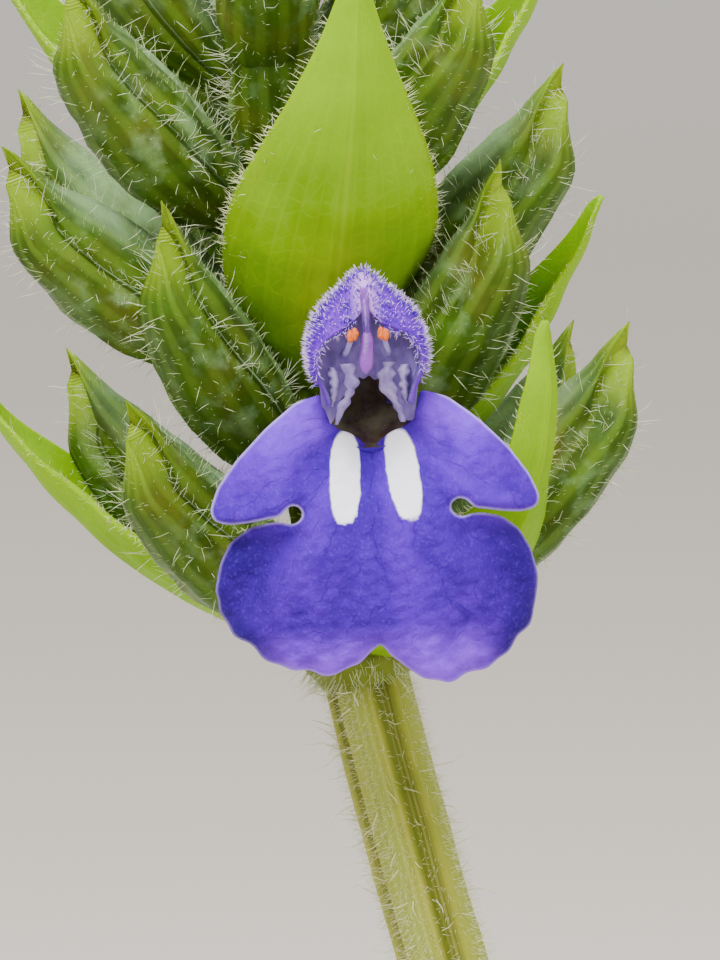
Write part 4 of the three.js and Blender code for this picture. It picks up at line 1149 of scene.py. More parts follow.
def bract_grid(spec, rows, columns):
    """A bract's surface: a cupped blade that rises more steeply towards its long point."""
    name, at, azimuth, rise, turn, length, width = spec
    u = np.linspace(0.0, 1.0, rows)
    v = np.linspace(-1, 1, columns)[None]
    start = MAIN_AXIS.point(at) + outward(azimuth) * (RACHIS * 0.5)
    pitch = rise + turn * u
    steps = np.diff(u, prepend=0)[:, None] * (length + RACHIS * 0.5 + 0.3)
    line = start + np.cumsum(np.array([rising(azimuth, p) for p in pitch]) * steps, axis=0)
    normal = np.array([rising(azimuth, p + 90) for p in pitch])[:, None]
    widths = DRAWN_OUT_WIDTHS if name == "front_right" else BRACT_WIDTHS
    half = width * np.interp(u, np.linspace(0, 1, 11), widths)
    half = np.convolve(np.pad(half, 4, mode="edge"), np.ones(9) / 9, mode="valid") * smooth(1.02, 0.97, u)
    half = np.maximum(half, 0.02)[:, None]
    curl = np.radians(mix(38, 22, np.clip(u / 0.6, 0, 1)))[:, None] * np.abs(v)
    lift = np.abs(v) * half * np.sin(curl) + 0.06 * half * np.sin(11 * u[:, None] + at) * v * np.abs(v)
    groove = -0.07 * bell(v, 0.1) * smooth(1, 0.7, u)[:, None]
    groove = groove + 0.018 * np.cos(10 * math.pi * v) * smooth(0.3, 1.0, half / width)
    grid = line[:, None] + (v * half * np.cos(curl / 2))[..., None] * sideways(azimuth)
    grid = grid + (lift + groove)[..., None] * normal
    grid = grid + (0.03 * ripple(grid, 1.6, int(at * 10)))[..., None] * normal
    places = np.stack(np.broadcast_arrays(u[:, None], v, 0.5 + 0 * u[:, None]), -1)
    return grid, surface_normals(grid), places


def make_bracts(settings):
    skin = bract_finish(settings)
    hair = tinted_finish("bract_hair", "d6de92", "eef0c4", 2.0, 0.4)

    def on_margin(where):
        return 0.02 + 3 * smooth(0.93, 1.0, np.abs(where[:, 1]))

    for number, spec in enumerate(BRACTS):
        name, _, azimuth = spec[:3]
        hidden = math.cos(math.radians(azimuth)) < -0.9
        rows, columns, fringe, nap = (48, 25, 250, 300) if hidden else (72, 37, 520, 900)
        grid, normals, places = bract_grid(spec, rows, columns)
        draft = Draft()
        thickness = 0.26 * (1 - 0.5 * np.abs(places[..., 1]) ** 2) * mix(1, 0.5, places[..., 0])
        add_sheet(draft, grid, -normals, thickness, places)
        rng = np.random.default_rng(60 + number)
        roots, _, where = scatter(grid, places, fringe, rng, on_margin)
        edge = np.sign(where[:, 1])[:, None] * sideways(azimuth)
        lean = edge * smooth(0.6, 0.95, np.abs(where[:, 1]))[:, None] + 0.5 * UP
        lean = lean + 0.35 * rng.normal(size=(fringe, 3))
        lengths = settings.hair_length * rng.uniform(0.2, 0.7, fringe)
        add_hairs(draft, roots, lean, lengths, 0.0075, rng, bend=0.4, slot=1)
        roots, out, _ = scatter(grid, places, nap, rng)
        lean = out * np.sign(out @ outward(azimuth))[:, None] + 0.4 * UP
        add_hairs(draft, roots, lean, rng.uniform(0.05, 0.12, nap), 0.007, rng, bend=0, slot=1)
        draft.piece(f"bract_blade_{name}", [skin, hair], "bract", [f"bract_{name}"])


def shoot_parts(index):
    """A side shoot's stalk line, its axis and its whorls."""
    along, azimuth, out, up, lean, count, _ = SHOOTS[index]
    start = stem_point(along)
    reach_out = [stem_radius(along) + 0.3, 0.42 * out, 0.8 * out, out]
    reach_up = [1.2, 0.22 * up, 0.66 * up, up]
    line = np.array([start + outward(azimuth) * o + UP * z for o, z in zip(reach_out, reach_up)])
    axis = Axis(line[3], azimuth, lean, lean / 3, SIDE_SPIKE_LENGTH)
    return line, axis, ruled_whorls(SIDE_SPIKE, count, 11 * (index + 1))


def make_shoots(settings):
    skins = [stem_finish(settings), calyx_finish(settings), leaf_finish(settings), hair_finish()]
    stalk_slot, calyx_slot, leaf_slot, hair_slot = range(4)
    for index, (along, azimuth, *_, flower) in enumerate(SHOOTS):
        line, axis, whorls = shoot_parts(index)
        draft = Draft()
        root = line[0] - outward(azimuth) * (stem_radius(along) * 0.55 + 0.3)
        path = np.vstack([root, curve_points(line, np.linspace(0, 1, 40))])
        radii = mix(1.15, 0.7, np.linspace(0, 1, len(path)))
        shape = 1 - 0.07 * np.cos(STEM_RIDGES * full_turn(STALK_SIDES))
        spots = tube_places(len(path), STALK_SIDES)
        stalk = tube_rings(path, radii, sideways(azimuth), STALK_SIDES, shape)
        add_rings(draft, stalk, spots * [1, 1, 0] + [0.3, 0, 0], stalk_slot)
        make_axis(draft, axis, whorls[-1][0] + 2.5, 0.7)
        rng = np.random.default_rng(40 + index)
        calyces = [(at, *calyx) for at, some in whorls for calyx in some]
        if flower is not None:
            calyces.append((SIDE_SPIKE[0], flower, *SIDE_FLOWER))
        for k, (at, turn, rise, reach) in enumerate(calyces):
            grid, places = calyx_grid(axis.point(at), turn, rise, reach, 50 + index * 20 + k, 16, 26)
            add_rings(draft, grid, places, calyx_slot)
            add_calyx_hairs(draft, grid, places, rng, 90, 90, settings.hair_length, hair_slot, bend=0)
        foot = curve_points(line, 0.72)[0]
        for turn in (0, 180):
            spec = (azimuth + 90 + turn, *SHOOT_LEAF)
            seed = index * 5 + turn
            slots = leaf_slot, hair_slot
            add_leaf(draft, spec, foot, SHOOT_LEAF_TEETH, seed, False, SHOOT_LEAF_HAIRS, *slots)
        smooth_stalk = tube_rings(path, radii, sideways(azimuth), STALK_SIDES)
        roots, out, _ = scatter(smooth_stalk, spots, SHOOT_FUZZ, rng)
        lean = out + 0.3 * rng.normal(size=(SHOOT_FUZZ, 3))
        lengths = settings.hair_length * rng.uniform(0.5, 1.3, SHOOT_FUZZ)
        add_hairs(draft, roots, lean, lengths, 0.015, rng, bend=0, slot=hair_slot)
        draft.piece(f"side_shoot_stalk_{index + 1}", skins, "calyx", [f"side_shoot_{index + 1}"])


# Flower, in its own frame: x to its right, u upwards and f out of the throat, in millimetres

# Half of the lower lip's outline, from the throat round to the notch at its lowest point
LIP_HALF = [
    (0, -0.95), (0.2, -0.74), (0.42, -0.58), (0.66, -0.52), (0.86, -0.3), (0.98, 0.2),
    (1.5, 0.05), (2.1, -0.42), (2.7, -1.02), (3.1, -1.56), (3.27, -2.0), (3.2, -2.22),
    (2.9, -2.3), (2.5, -2.27), (2.1, -2.2), (1.9, -2.18), (1.8, -2.04), (1.66, -1.95),
    (1.5, -2.02), (1.45, -2.16), (1.54, -2.3), (1.7, -2.35), (1.86, -2.28), (2.1, -2.28),
    (2.5, -2.37), (2.88, -2.64), (3.1, -3.05), (3.22, -3.6), (3.16, -4.05), (2.9, -4.57),
    (2.55, -4.92), (2.15, -5.2), (1.75, -5.38), (1.3, -5.46), (0.85, -5.43), (0.45, -5.24),
    (0.15, -4.92), (0, -4.74),
]
# The hood's section where it is fullest and at its front margin, down one side: half width and height
HOOD_FULL = [
    (0, 1), (0.24, 0.945), (0.47, 0.86), (0.7, 0.76), (0.9, 0.62),
    (1, 0.46), (0.98, 0.34), (0.9, 0.22), (0.8, 0.1), (0.72, 0),
]
HOOD_MARGIN = [
    (0, 1), (0.24, 0.96), (0.5, 0.91), (0.76, 0.83), (0.93, 0.7),
    (1, 0.53), (0.98, 0.38), (0.9, 0.24), (0.82, 0.11), (0.76, 0),
]
# Its shell from back to front: forward place, half width, top and share of the margin's section
HOOD_SHELL = [
    (-0.7, 0.6, 1.3, 0),
    (-0.3, 0.84, 2.0, 0),
    (0.2, 1.0, 2.38, 0),
    (0.7, 1.06, 2.48, 0.1),
    (1.15, 1.07, 2.3, 0.4),
    (1.5, 1.06, 1.92, 0.8),
    (1.7, 1.04, 1.56, 1),
]
HOOD_FOOT = -0.05
# Half the thickness of its wall
HOOD_HALF = 0.05
# How far the hood, the style and the stamens stand to the left of the flower's middle
HOOD_SHIFT = 0.05
STYLE_SHIFT = 0.08
STAMEN_SHIFT = 0.06
# How far a flower's face is tilted up, its throat's distance from the calyx's root, and the front one's roll
FLOWER_PITCH = 10
THROAT_REACH = 7.35
FRONT_ROLL = 2.2


class FlowerFrame:
    """Turns flower coordinates into places, for a flower on a calyx's root."""

    def __init__(self, root, azimuth, rise, roll=0.0):
        right, up = sideways(azimuth), rising(azimuth, FLOWER_PITCH + 90)
        r = math.radians(roll)
        self.root = root
        self.way = rising(azimuth, rise)
        self.throat = root + self.way * THROAT_REACH
        self.right = right * math.cos(r) + up * math.sin(r)
        self.up = up * math.cos(r) - right * math.sin(r)
        self.front = rising(azimuth, FLOWER_PITCH)

    def at(self, x, u, f):
        x, u, f = (np.asarray(value, float)[..., None] for value in (x, u, f))
        return self.throat + x * self.right + u * self.up + f * self.front

    def line(self, points):
        return self.at(*np.array(points, float).T)


def lip_outline(step):
    """The whole outline at even steps, with its corners worn round."""
    right = np.array(LIP_HALF, float)
    left = right[-2:0:-1] * [-1, 1]
    ring = np.vstack([right, left, right[:1]])
    line = rounded(ring, step, 0)[:-1]
    for _ in range(5):
        line = line * 0.5 + (np.roll(line, 1, 0) + np.roll(line, -1, 0)) * 0.25
    turn = np.arctan2(line[:, 0], -(line[:, 1] + 1.5))
    low = smooth(-3.4, -4.4, line[:, 1])
    line[:, 1] *= 1 + 0.028 * low * np.tanh(line[:, 0])
    wavy = 0.035 * np.sin(turn * 23 + 1) + 0.025 * np.sin(turn * 41)
    return line + (low * wavy)[:, None] * unit(line - [0, -1.5])


def distance_to_line(spots, ring):
    """The distance of each spot from a closed line."""
    a, b = ring, np.roll(ring, -1, 0)
    way = b - a
    nearest = np.full(len(spots), 1e9)
    for start, step in zip(a, way):
        t = np.clip((spots - start) @ step / max(step @ step, 1e-12), 0, 1)
        nearest = np.minimum(nearest, np.linalg.norm(spots - start - t[:, None] * step, axis=1))
    return nearest


def inside_line(spots, ring):
    """True for each spot that a closed line holds."""
    x, y = spots.T
    inside = np.zeros(len(spots), bool)
    for (ax, ay), (bx, by) in zip(ring, np.roll(ring, -1, 0)):
        if ay != by:
            crosses = (ay > y) != (by > y)
            inside ^= crosses & (x < (bx - ax) * (y - ay) / (by - ay) + ax)
    return inside


def lip_depth(x, u, edge):
    """How far the lower lip stands forward of the throat; edge is the distance to its margin."""
    side = np.abs(x)
    r = np.hypot(x, u + 0.9)
    depth = 0.1 + 1.2 * (1 - np.exp(-((r / 1.1) ** 2))) - 0.15
    depth -= 0.1 * np.maximum(r - 1.7, 0) ** 2
    depth -= 0.07 * x * x * np.clip((u + 3) / 1.4, 0, 1)
    lateral = smooth(1.3, 1.9, side) * smooth(-2.36, -2.24, u)
    middle = smooth(-2.3, -2.7, u)
    # the lateral lobes are plump cheeks whose lower margin stands out over the middle lobe
    depth += 0.24 * bell(np.hypot(side - 2.1, u + 1.35), 0.75)
    depth += lateral * 0.2 * smooth(0.7, 0.1, edge) * smooth(-1.2, -2.1, u)
    # the middle lobe folds back outside a crease on each side
    crease = side - 1.55 - 0.75 * (-3.2 - u)
    depth -= middle * (0.42 * smooth(-0.1, 0.9, crease) + 0.05 * bell(crease, 0.1))
    depth -= smooth(-2.1, -2.5, u) * 0.16 * smooth(1.2, 2.4, side)
    turn = np.arctan2(x, -(u + 0.6))
    reach = smooth(1.2, 3.6, r)
    depth += middle * reach * (0.07 * np.sin(turn * 11 + 0.6) + 0.035 * np.sin(turn * 23 + 2))
    depth += middle * smooth(0.5, 0.0, edge) * 0.05 * np.sin(turn * 31 + 1)
    # the white patches lie on two low swellings, with a groove between them
    depth += 0.12 * bell(side - 0.55, 0.34) * bell(u + 1.3, 0.8)
    depth -= 0.1 * bell(x, 0.14) * smooth(-0.8, -1.4, u)
    # every free margin turns back
    free = smooth(1.2, 1.7, r)
    return depth - free * 0.2 * np.clip(1 - edge / 0.34, 0, 1) ** 2 * (1 - 0.7 * lateral)


def add_lip(draft, flower, spacing, slot):
    """The lower lip as one thin closed blade of fine triangles."""
    ring = lip_outline(spacing * 0.75)
    xs = np.arange(-3.4, 3.4, spacing)
    us = np.arange(-5.7, 0.4, spacing * 0.866)
    x, u = np.meshgrid(xs, us)
    x[::2] += spacing / 2
    spots = np.stack([x.ravel(), u.ravel()], -1)
    spots = spots[inside_line(spots, ring)]
    spots = spots[distance_to_line(spots, ring) > spacing * 0.45]
    plane = [Vector(p) for p in np.vstack([ring, spots])]
    made = delaunay_2d_cdt(plane, [], [list(range(len(ring)))], 1, 1e-5)
    flat = np.array([tuple(p) for p in made[0]])
    faces = np.array([face for face in made[2] if len(face) == 3])
    edge = distance_to_line(flat, ring)
    x, u = flat.T
    depth = lip_depth(x, u, edge)
    depth += 0.02 * ripple(np.stack([x, u, 0 * x], -1), 0.3, 17)
    half = 0.07 * smooth(-0.02, 0.12, edge) + 0.012
    count = len(flat)
    # the rim share, which places the painted highlight along the turned-back margins
    rim = np.clip(1 - edge / 0.5, 0, 1) * smooth(1.0, 1.5, np.hypot(x, u + 0.5))
    front = np.stack([x, u, rim], -1)
    back = np.stack([x, u, -1 + 0 * x], -1)
    sides = dict.fromkeys(side for a, b, c in faces for side in ((a, b), (b, c), (c, a)))
    border = np.array([[a, b] for a, b in sides if (b, a) not in sides])
    walls = np.stack([border[:, 1], border[:, 0], border[:, 0] + count, border[:, 1] + count], -1)
    points = np.vstack([flower.at(x, u, depth + half), flower.at(x, u, depth - half)])
    draft.add(points, [faces, faces[:, ::-1] + count, walls], np.vstack([front, back]), slot)


def hood_grid(flower, rows, columns):
    """The hood's shell: a peaked dome over a narrow neck, with its front margin in an upturned V."""
    turn = np.linspace(-1, 1, columns)[None]
    reach = np.abs(turn) * 9
    t = np.linspace(0, 1, rows)[:, None] * (1 - 0.1 * bell(turn, 0.1) - 0.3 * smooth(0.6, 1, np.abs(turn)))
    shell = curve_points(HOOD_SHELL, t.ravel()).reshape(rows, columns, 4)
    forward, half, top, margin = np.moveaxis(shell, -1, 0)
    across, height = (
        mix(np.interp(reach, range(10), full), np.interp(reach, range(10), front), margin)
        for full, front in zip(zip(*HOOD_FULL), zip(*HOOD_MARGIN))
    )
    pleats = 0.02 * np.sin(14 * turn + 3 * t)
    x = half * np.sign(turn) * across
    u = HOOD_FOOT + (top - HOOD_FOOT) * height + pleats + 0.06 * bell(turn, 0.05)
    grid = flower.at(x - HOOD_SHIFT, u, forward)
    for _ in range(3):
        inner = (grid[:, :-2] + grid[:, 2:]) / 2
        grid[:, 1:-1] = mix(grid[:, 1:-1], inner, 0.5)
    places = np.stack(np.broadcast_arrays(t, turn, 1.0), -1)
    return grid, places


def add_hood(draft, flower, rows, columns, papillae, slot, hair_slot, rng):
    grid, places = hood_grid(flower, rows, columns)
    middle = flower.at(0, 0.8, 0.7)
    normals = surface_normals(grid)
    normals = normals * np.sign(((grid - middle) * normals).sum(-1).mean())
    skin = grid + normals * HOOD_HALF
    lining = places * [1, 1, 0] + [0, 0, -1.0]
    rings = np.concatenate([skin, (grid - normals * HOOD_HALF)[:, ::-1]], axis=1)
    add_rings(draft, rings, np.concatenate([places, lining[:, ::-1]], axis=1), slot, flat=True)

    def share(where):
        return smooth(0.03, 0.2, where[:, 0]) * smooth(0.85, 0.6, np.abs(where[:, 1]))

    roots, out, _ = scatter(skin, places, papillae, rng, share)
    out = out * np.sign(((roots - middle) * out).sum(-1, keepdims=True))
    lean = out + 0.35 * flower.front + 0.22 * rng.normal(size=(papillae, 3))
    add_hairs(draft, roots, lean, rng.uniform(0.13, 0.24, papillae), 0.0115, rng, slot=hair_slot)
    # longer ones droop from the front margin on both sides of the style
    fringe = papillae // 8
    column = (0.5 + rng.choice([-1, 1], fringe) * rng.uniform(0.05, 0.33, fringe)) * (columns - 1)
    roots = grid[-1][column.astype(int)] - flower.front * rng.uniform(0, 0.12, (fringe, 1))
    lean = flower.front - 0.6 * flower.up + 0.45 * rng.normal(size=(fringe, 3))
    add_hairs(draft, roots, lean, rng.uniform(0.14, 0.26, fringe), 0.011, rng, bend=0.4, slot=hair_slot)


def add_throat(draft, flower, fine, tube_slot, wall_slot):
    """The tube outside, the funnel inside that closes it and is painted dark as shade, and the pale curtain
    that hangs in the hood above it.
    """
    sides = 40 if fine else 16
    mouth = [(0, -0.5, -0.72), (0, -0.2, -0.35)]
    outer = [flower.root + flower.way * 4.3, flower.root + flower.way * 5.8, *flower.line(mouth)]
    line = curve_points(outer, np.linspace(0, 1, sides // 2))
    radii = read_along([0.44, 0.62, 0.82, 0.9], np.linspace(0, 1, len(line)))
    tube = tube_rings(line, radii, flower.right, sides)
    places = tube_places(len(line), sides) * [1.2, 0, 0] + [-0.6, 1.2, 0.3]
    add_rings(draft, tube, places, tube_slot, ends=False)
    # the funnel's dark finish is painted shade where the tube runs deep
    inner = flower.line([(0, -0.08, -0.19), (0, -0.16, -0.36), (0, -0.24, -0.52), (0, -0.28, -0.62)])
    line = curve_points(inner, np.linspace(0, 1, sides // 2))
    radii = read_along([0.92, 0.78, 0.5, 0.02], np.linspace(0, 1, len(line)))
    funnel = tube_rings(line, radii, flower.right, sides)[:, ::-1]
    add_rings(draft, funnel, tube_places(len(line), sides) * [0.7, 1, 1] + [0.4, 0, 0], wall_slot, ends=False)
    rows, columns = (40, 61) if fine else (9, 13)
    t = np.linspace(0, 1, rows)[:, None]
    x = np.linspace(-1.04, 1.04, columns)[None] * (1 - 0.13 * t)
    foot = 0.5 - 0.85 * (np.abs(x) / 0.72) ** 2.2 + 0.03 * np.sin(31 * x)
    u = mix(1.85 - 0.6 * x**2, np.maximum(foot, -0.4), t)
    f = 0.95 + 0.25 * np.abs(x) ** 1.5 - 0.55 * smooth(0.5, 1, t) + 0.03 * np.sin(14 * x + 3 * u)
    grid = flower.at(x - HOOD_SHIFT, u, f)
    spots = np.stack(np.broadcast_arrays(0.02 + 0.2 * t**3, 0.5 + x / 2, 0.0), -1)
    add_sheet(draft, grid, surface_normals(grid), 0.04, spots, wall_slot)


# The ragged strips at the throat's sides, in flower coordinates, with their half width
FRILLS = [
    ([(0.42, 0.76, 1.3), (0.34, 0.44, 1.32), (0.4, 0.16, 1.26), (0.55, -0.1, 1.1), (0.66, -0.42, 0.9)], 0.14),
    ([(0.72, 0.7, 1.3), (0.68, 0.42, 1.3), (0.7, 0.16, 1.2), (0.74, -0.06, 1.0)], 0.09),
]


def add_frills(draft, flower, slot):
    """The ragged pale strips that hang from the walls on both sides of the throat."""
    rng = np.random.default_rng(8)
    rows, columns = 60, 9
    t = np.linspace(0, 1, rows)
    v = np.linspace(-1, 1, columns)[None]
    for sign in (-1, 1):
        for line, wide in FRILLS:
            centre = curve_points(flower.line(np.array(line) * [sign, 1, 1] - [HOOD_SHIFT, 0, 0]), t)
            torn = np.convolve(rng.uniform(-1, 1, rows), np.hanning(13) / 6, mode="same")
            width = wide * (0.6 + 0.5 * bell(t - 0.2, 0.3) + 0.9 * torn) * (1 - 0.6 * smooth(0.75, 1, t))
            grid = centre[:, None] + (width[:, None] * v)[..., None] * flower.right
            curl = 0.07 * np.cos(v * 1.9) + 0.025 * np.sin(t * 33 + sign)[:, None] * v
            grid = grid + curl[..., None] * flower.front
            places = np.stack(np.broadcast_arrays(t[:, None], v, 0.0), -1)
            add_sheet(draft, grid, surface_normals(grid), 0.025, places, slot)


# Slots of a flower's finishes, in the order of corolla_skins
LIP, HOOD, THROAT, PAPILLA, FRILL = range(5)


def corolla_skins(settings):
    papilla = tinted_finish("papilla", "5c10b8", "8030e4", 0.4, 0.4, "f0d8ff")
    frill = tinted_finish("frill", "6a5892", "9282b4", 0.3, 0.5)
    return [lip_finish(settings), hood_finish(settings), throat_finish(), papilla, frill]


def front_frame():
    return FlowerFrame(FLOWER_ROOT, FRONT_CALYX[0], FRONT_CALYX[1], FRONT_ROLL)


def make_corollas(settings):
    skins = corolla_skins(settings)
    front = Draft()
    flower = front_frame()
    rng = np.random.default_rng(31)
    add_lip(front, flower, settings.mesh_step, LIP)
    add_hood(front, flower, 60, 91, settings.papillae, HOOD, PAPILLA, rng)
    add_throat(front, flower, True, LIP, THROAT)
    add_frills(front, flower, FRILL)
    front.piece("front_flower", skins, "petal", ["corolla_front"])
    for index, shoot in enumerate(SHOOTS[:2]):
        axis = shoot_parts(index)[1]
        small = Draft()
        flower = FlowerFrame(axis.point(SIDE_SPIKE[0]), shoot[-1], SIDE_FLOWER[0])
        add_lip(small, flower, 0.14, LIP)
        add_hood(small, flower, 20, 31, 500, HOOD, PAPILLA, rng)
        add_throat(small, flower, False, LIP, THROAT)
        add_organs(small, flower, 8, FRILL, LIP)
        small.piece(f"side_flower_{index + 1}", skins, "petal", [f"corolla_side_{index + 1}"])


# The style, its flat tip and the right stamen, in flower coordinates, with their radii from end to end
STYLE_LINE = [(0, 1.5, 0.5), (0, 2.0, 1.1), (0, 2.16, 1.4), (0, 1.9, 1.72), (0, 1.5, 1.88), (0, 1.24, 1.94)]
STYLE_RADII = [0.07, 0.08, 0.085, 0.085, 0.08, 0.06]
STIGMA_LINE = [(0, 1.4, 1.92), (0, 1.1, 2.02), (-0.04, 0.8, 2.06), (-0.07, 0.54, 2.02)]
STIGMA_RADII = [0.06, 0.1, 0.12, 0.125, 0.13, 0.138, 0.14, 0.115, 0.03]
STIGMA_FLATNESS = 0.42
STAMEN_LINE = [(0.5, 0.9, 0.5), (0.42, 0.98, 1.3), (0.32, 1.22, 1.72), (0.3, 1.3, 1.84)]
ANTHER_RADIUS = 0.07
ANTHER_HALF_LENGTH = 0.13


def add_organs(draft, flower, sides, slot, tip_slot):
    """A side flower's style and both stamens, in one finish, and their tips in another."""
    add_style(draft, flower, sides, slot, tip_slot)
    for sign in (-1, 1):
        add_stamen(draft, flower, sign, sides, slot, tip_slot)


def add_style(draft, flower, sides, slot, tip_slot):
    """The style with its flat stigma lobe."""
    t = np.linspace(0, 1, 30)
    places = tube_places(len(t), sides)
    angles = full_turn(sides)
    flat = 1 / np.sqrt(np.cos(angles) ** 2 + (np.sin(angles) / STIGMA_FLATNESS) ** 2)
    for points, radii, shape, skin in (
        (STYLE_LINE, STYLE_RADII, 1.0, slot),
        (STIGMA_LINE, STIGMA_RADII, flat, tip_slot),
    ):
        line = curve_points(flower.line(points) - flower.right * STYLE_SHIFT, t)
        rings = tube_rings(line, read_along(radii, t), flower.right, sides, shape)
        add_rings(draft, rings, places, skin)


def add_stamen(draft, flower, sign, sides, slot, anther_slot):
    """One stamen: its filament, and a grainy two-lobed anther at its end."""
    stamen = np.array(STAMEN_LINE) * [sign, 1, 1] - [STAMEN_SHIFT, 0, 0]
    t = np.linspace(0, 1, 20)
    line = curve_points(flower.line(stamen), t)
    filament = tube_rings(line, mix(0.06, 0.045, t), flower.right, sides)
    add_rings(draft, filament, tube_places(len(t), sides), slot)
    rng = np.random.default_rng(70 + sign)
    rows = 11
    share = np.linspace(-1, 1, rows)
    for lobe in (-1, 1):
        x, u, f = stamen[-1]
        middle = flower.at(x + 0.045 * lobe, u - 0.02 * lobe * sign, f + 0.05)
        spine = middle + (share[:, None] * ANTHER_HALF_LENGTH) * flower.up
        radii = ANTHER_RADIUS * np.sqrt(np.clip(1.02 - share**2, 0.02, 1))
        radii = radii * (1 + 0.12 * rng.uniform(-1, 1, rows))
        rough = 1 + 0.12 * rng.uniform(-1, 1, size=(rows, sides))
        rings = tube_rings(spine, radii, flower.right, sides, rough)
        add_rings(draft, rings, tube_places(rows, sides), anther_slot)


def make_organs():
    """Style and stamens of the front flower, each its own piece."""
    flower = front_frame()
    violet = tinted_finish("style_violet", "7a38aa", "a45ccc", 0.3, 0.4, "3c1070")
    glow = {"Subsurface_Weight": 0.2, "Subsurface_Scale": 0.2 * MM}
    pink = tinted_finish("stigma", "5e1a84", "702c98", 0.2, 0.45, "7e38a8", **glow)
    style = Draft()
    add_style(style, flower, 20, 0, 1)
    style.piece("style_and_stigma", [violet, pink], "style", ["style"])
    filament = tinted_finish("filament", "8a7cc0", "a99cd8", 0.3, 0.45)
    anther = tinted_finish("anther", "bc480e", "d87024", 0.06, 0.75)
    for name, sign in (("left", -1), ("right", 1)):
        stamen = Draft()
        add_stamen(stamen, flower, sign, 16, 0, 1)
        stamen.piece(f"stamen_{name}_with_anther", [filament, anther], "anther", [f"stamen_{name}"])


# Stage
CAMERA_PITCH = 10
CAMERA_DISTANCE = 120
CAMERA_LENS = 225
# What the camera looks at, from the stem's end: to the right, up the picture and forwards
CAMERA_AIM = (-0.1, 4.1, 5.0)
FLOOR_RINGS = [0.01, 60, 200, 700, 2500, 9000]
FLOOR_SIDES = 96


def floor_finish(settings):
    """The floor's colour, which passes into the sky's far from the plant."""
    f = Finish("studio_floor", 0.9)
    shade = tuple(c * 0.97 for c in settings.floor_colour)
    f.ground(f.noise(400, 2), settings.floor_colour, shade)
    far = f.node("ShaderNodeEmission", {0: settings.floor_colour, 1: settings.sky})
    reach = f.node("ShaderNodeVectorMath", {0: f.object}, output="Value", operation="LENGTH")
    share = f.span(reach, 0.5, 2.6)
    skin = f.node("ShaderNodeMixShader", {0: share, 1: f.shader.outputs[0], 2: far})
    f.tree.links.new(skin, f.tree.nodes["Material Output"].inputs["Surface"])
    return f.finish()


def show_facing(name, data, where, way):
    """Adds a lamp or camera at a place in millimetres, with its back turned to way."""
    made = show(name, data)
    made.location = where * MM
    made.rotation_mode = "QUATERNION"
    made.rotation_quaternion = Vector(way).to_track_quat("Z", "Y")
    return made


def make_floor(settings):
    reaches = np.array(FLOOR_RINGS)
    rings = turned(np.stack([reaches, 0 * reaches], -1), FLOOR_SIDES)
    faces = grid_faces(len(reaches), FLOOR_SIDES, closed=True)
    mesh = bpy.data.meshes.new("studio_floor")
    mesh.from_pydata((rings.reshape(-1, 3) * MM).tolist(), [], faces.tolist())
    mesh.materials.append(floor_finish(settings))
    floor = show("studio_floor", mesh)


def make_sky(settings):
    world = bpy.data.worlds.new("studio_world")
    world.use_nodes = True
    sky = world.node_tree.nodes["Background"]
    sky.inputs["Color"].default_value = (*settings.floor_colour, 1)
    sky.inputs["Strength"].default_value = settings.sky
    bpy.context.scene.world = world


def make_lamps(settings):
    head = stem_point(1) + UP * 4
    for name, azimuth, rise, distance, size, power in (
        ("key_light", -24, 52, 900, 620, settings.key_power),
        ("fill_light", 60, 22, 1000, 800, settings.fill_power),
        ("back_light", 165, 50, 900, 500, settings.back_power),
    ):
        lamp = bpy.data.lights.new(name, "AREA")
        lamp.energy = power
        lamp.size = size * MM
        lamp.shape = "DISK"
        way = rising(azimuth, rise)
        show_facing(name, lamp, head + way * distance, way)


def make_camera():
    right, up, forward = CAMERA_AIM
    way = rising(0, CAMERA_PITCH)
    level = forward * math.cos(math.radians(CAMERA_PITCH))
    aim = stem_point(1) + np.array([right, 0, 0]) + up * rising(0, 90 + CAMERA_PITCH) + level * way
    camera = bpy.data.cameras.new("photo_camera")
    camera.lens = CAMERA_LENS
    camera.sensor_width = 36
    camera.clip_start = 0.005
    camera.clip_end = 100
    bpy.context.scene.camera = show_facing("photo_camera", camera, aim + way * CAMERA_DISTANCE, way)


def make_stage(settings):
    """A pale floor, soft lights and the camera at the photograph's viewing angle."""
    make_floor(settings)
    make_sky(settings)
    make_lamps(settings)
    make_camera()


# Settings
def colour_setting(name, code, description):
    look = {"subtype": "COLOR", "size": 3, "min": 0, "max": 1}
    return FloatVectorProperty(name=name, description=description, default=tone(code), **look)


class PotSettings(bpy.types.PropertyGroup):
    colour: colour_setting("Clay", "a9522c", "Colour of the fired clay")
    dark_colour: colour_setting("Dark clay", "8a4222", "Colour of the clay's darker patches")
    salts: FloatProperty(
        name="Salts",
        description="How strong the pale mineral bloom is",
        default=0.55,
        min=0,
        max=1,
        subtype="FACTOR",
    )
    wobble: FloatProperty(
        name="Wobble",
        description="How far the pot is out of true, as a share of its radius",
        default=0.002,
        min=0,
        max=0.01,
    )


class SoilSettings(bpy.types.PropertyGroup):
    colour: colour_setting("Soil", "5a4030", "Colour of the drier soil")
    dark_colour: colour_setting("Damp soil", "2c1f16", "Colour of the damp soil")
    crumbs: IntProperty(
        name="Crumbs",
        description="Number of loose crumbs on the surface",
        default=1300,
        min=0,
        max=2500,
    )


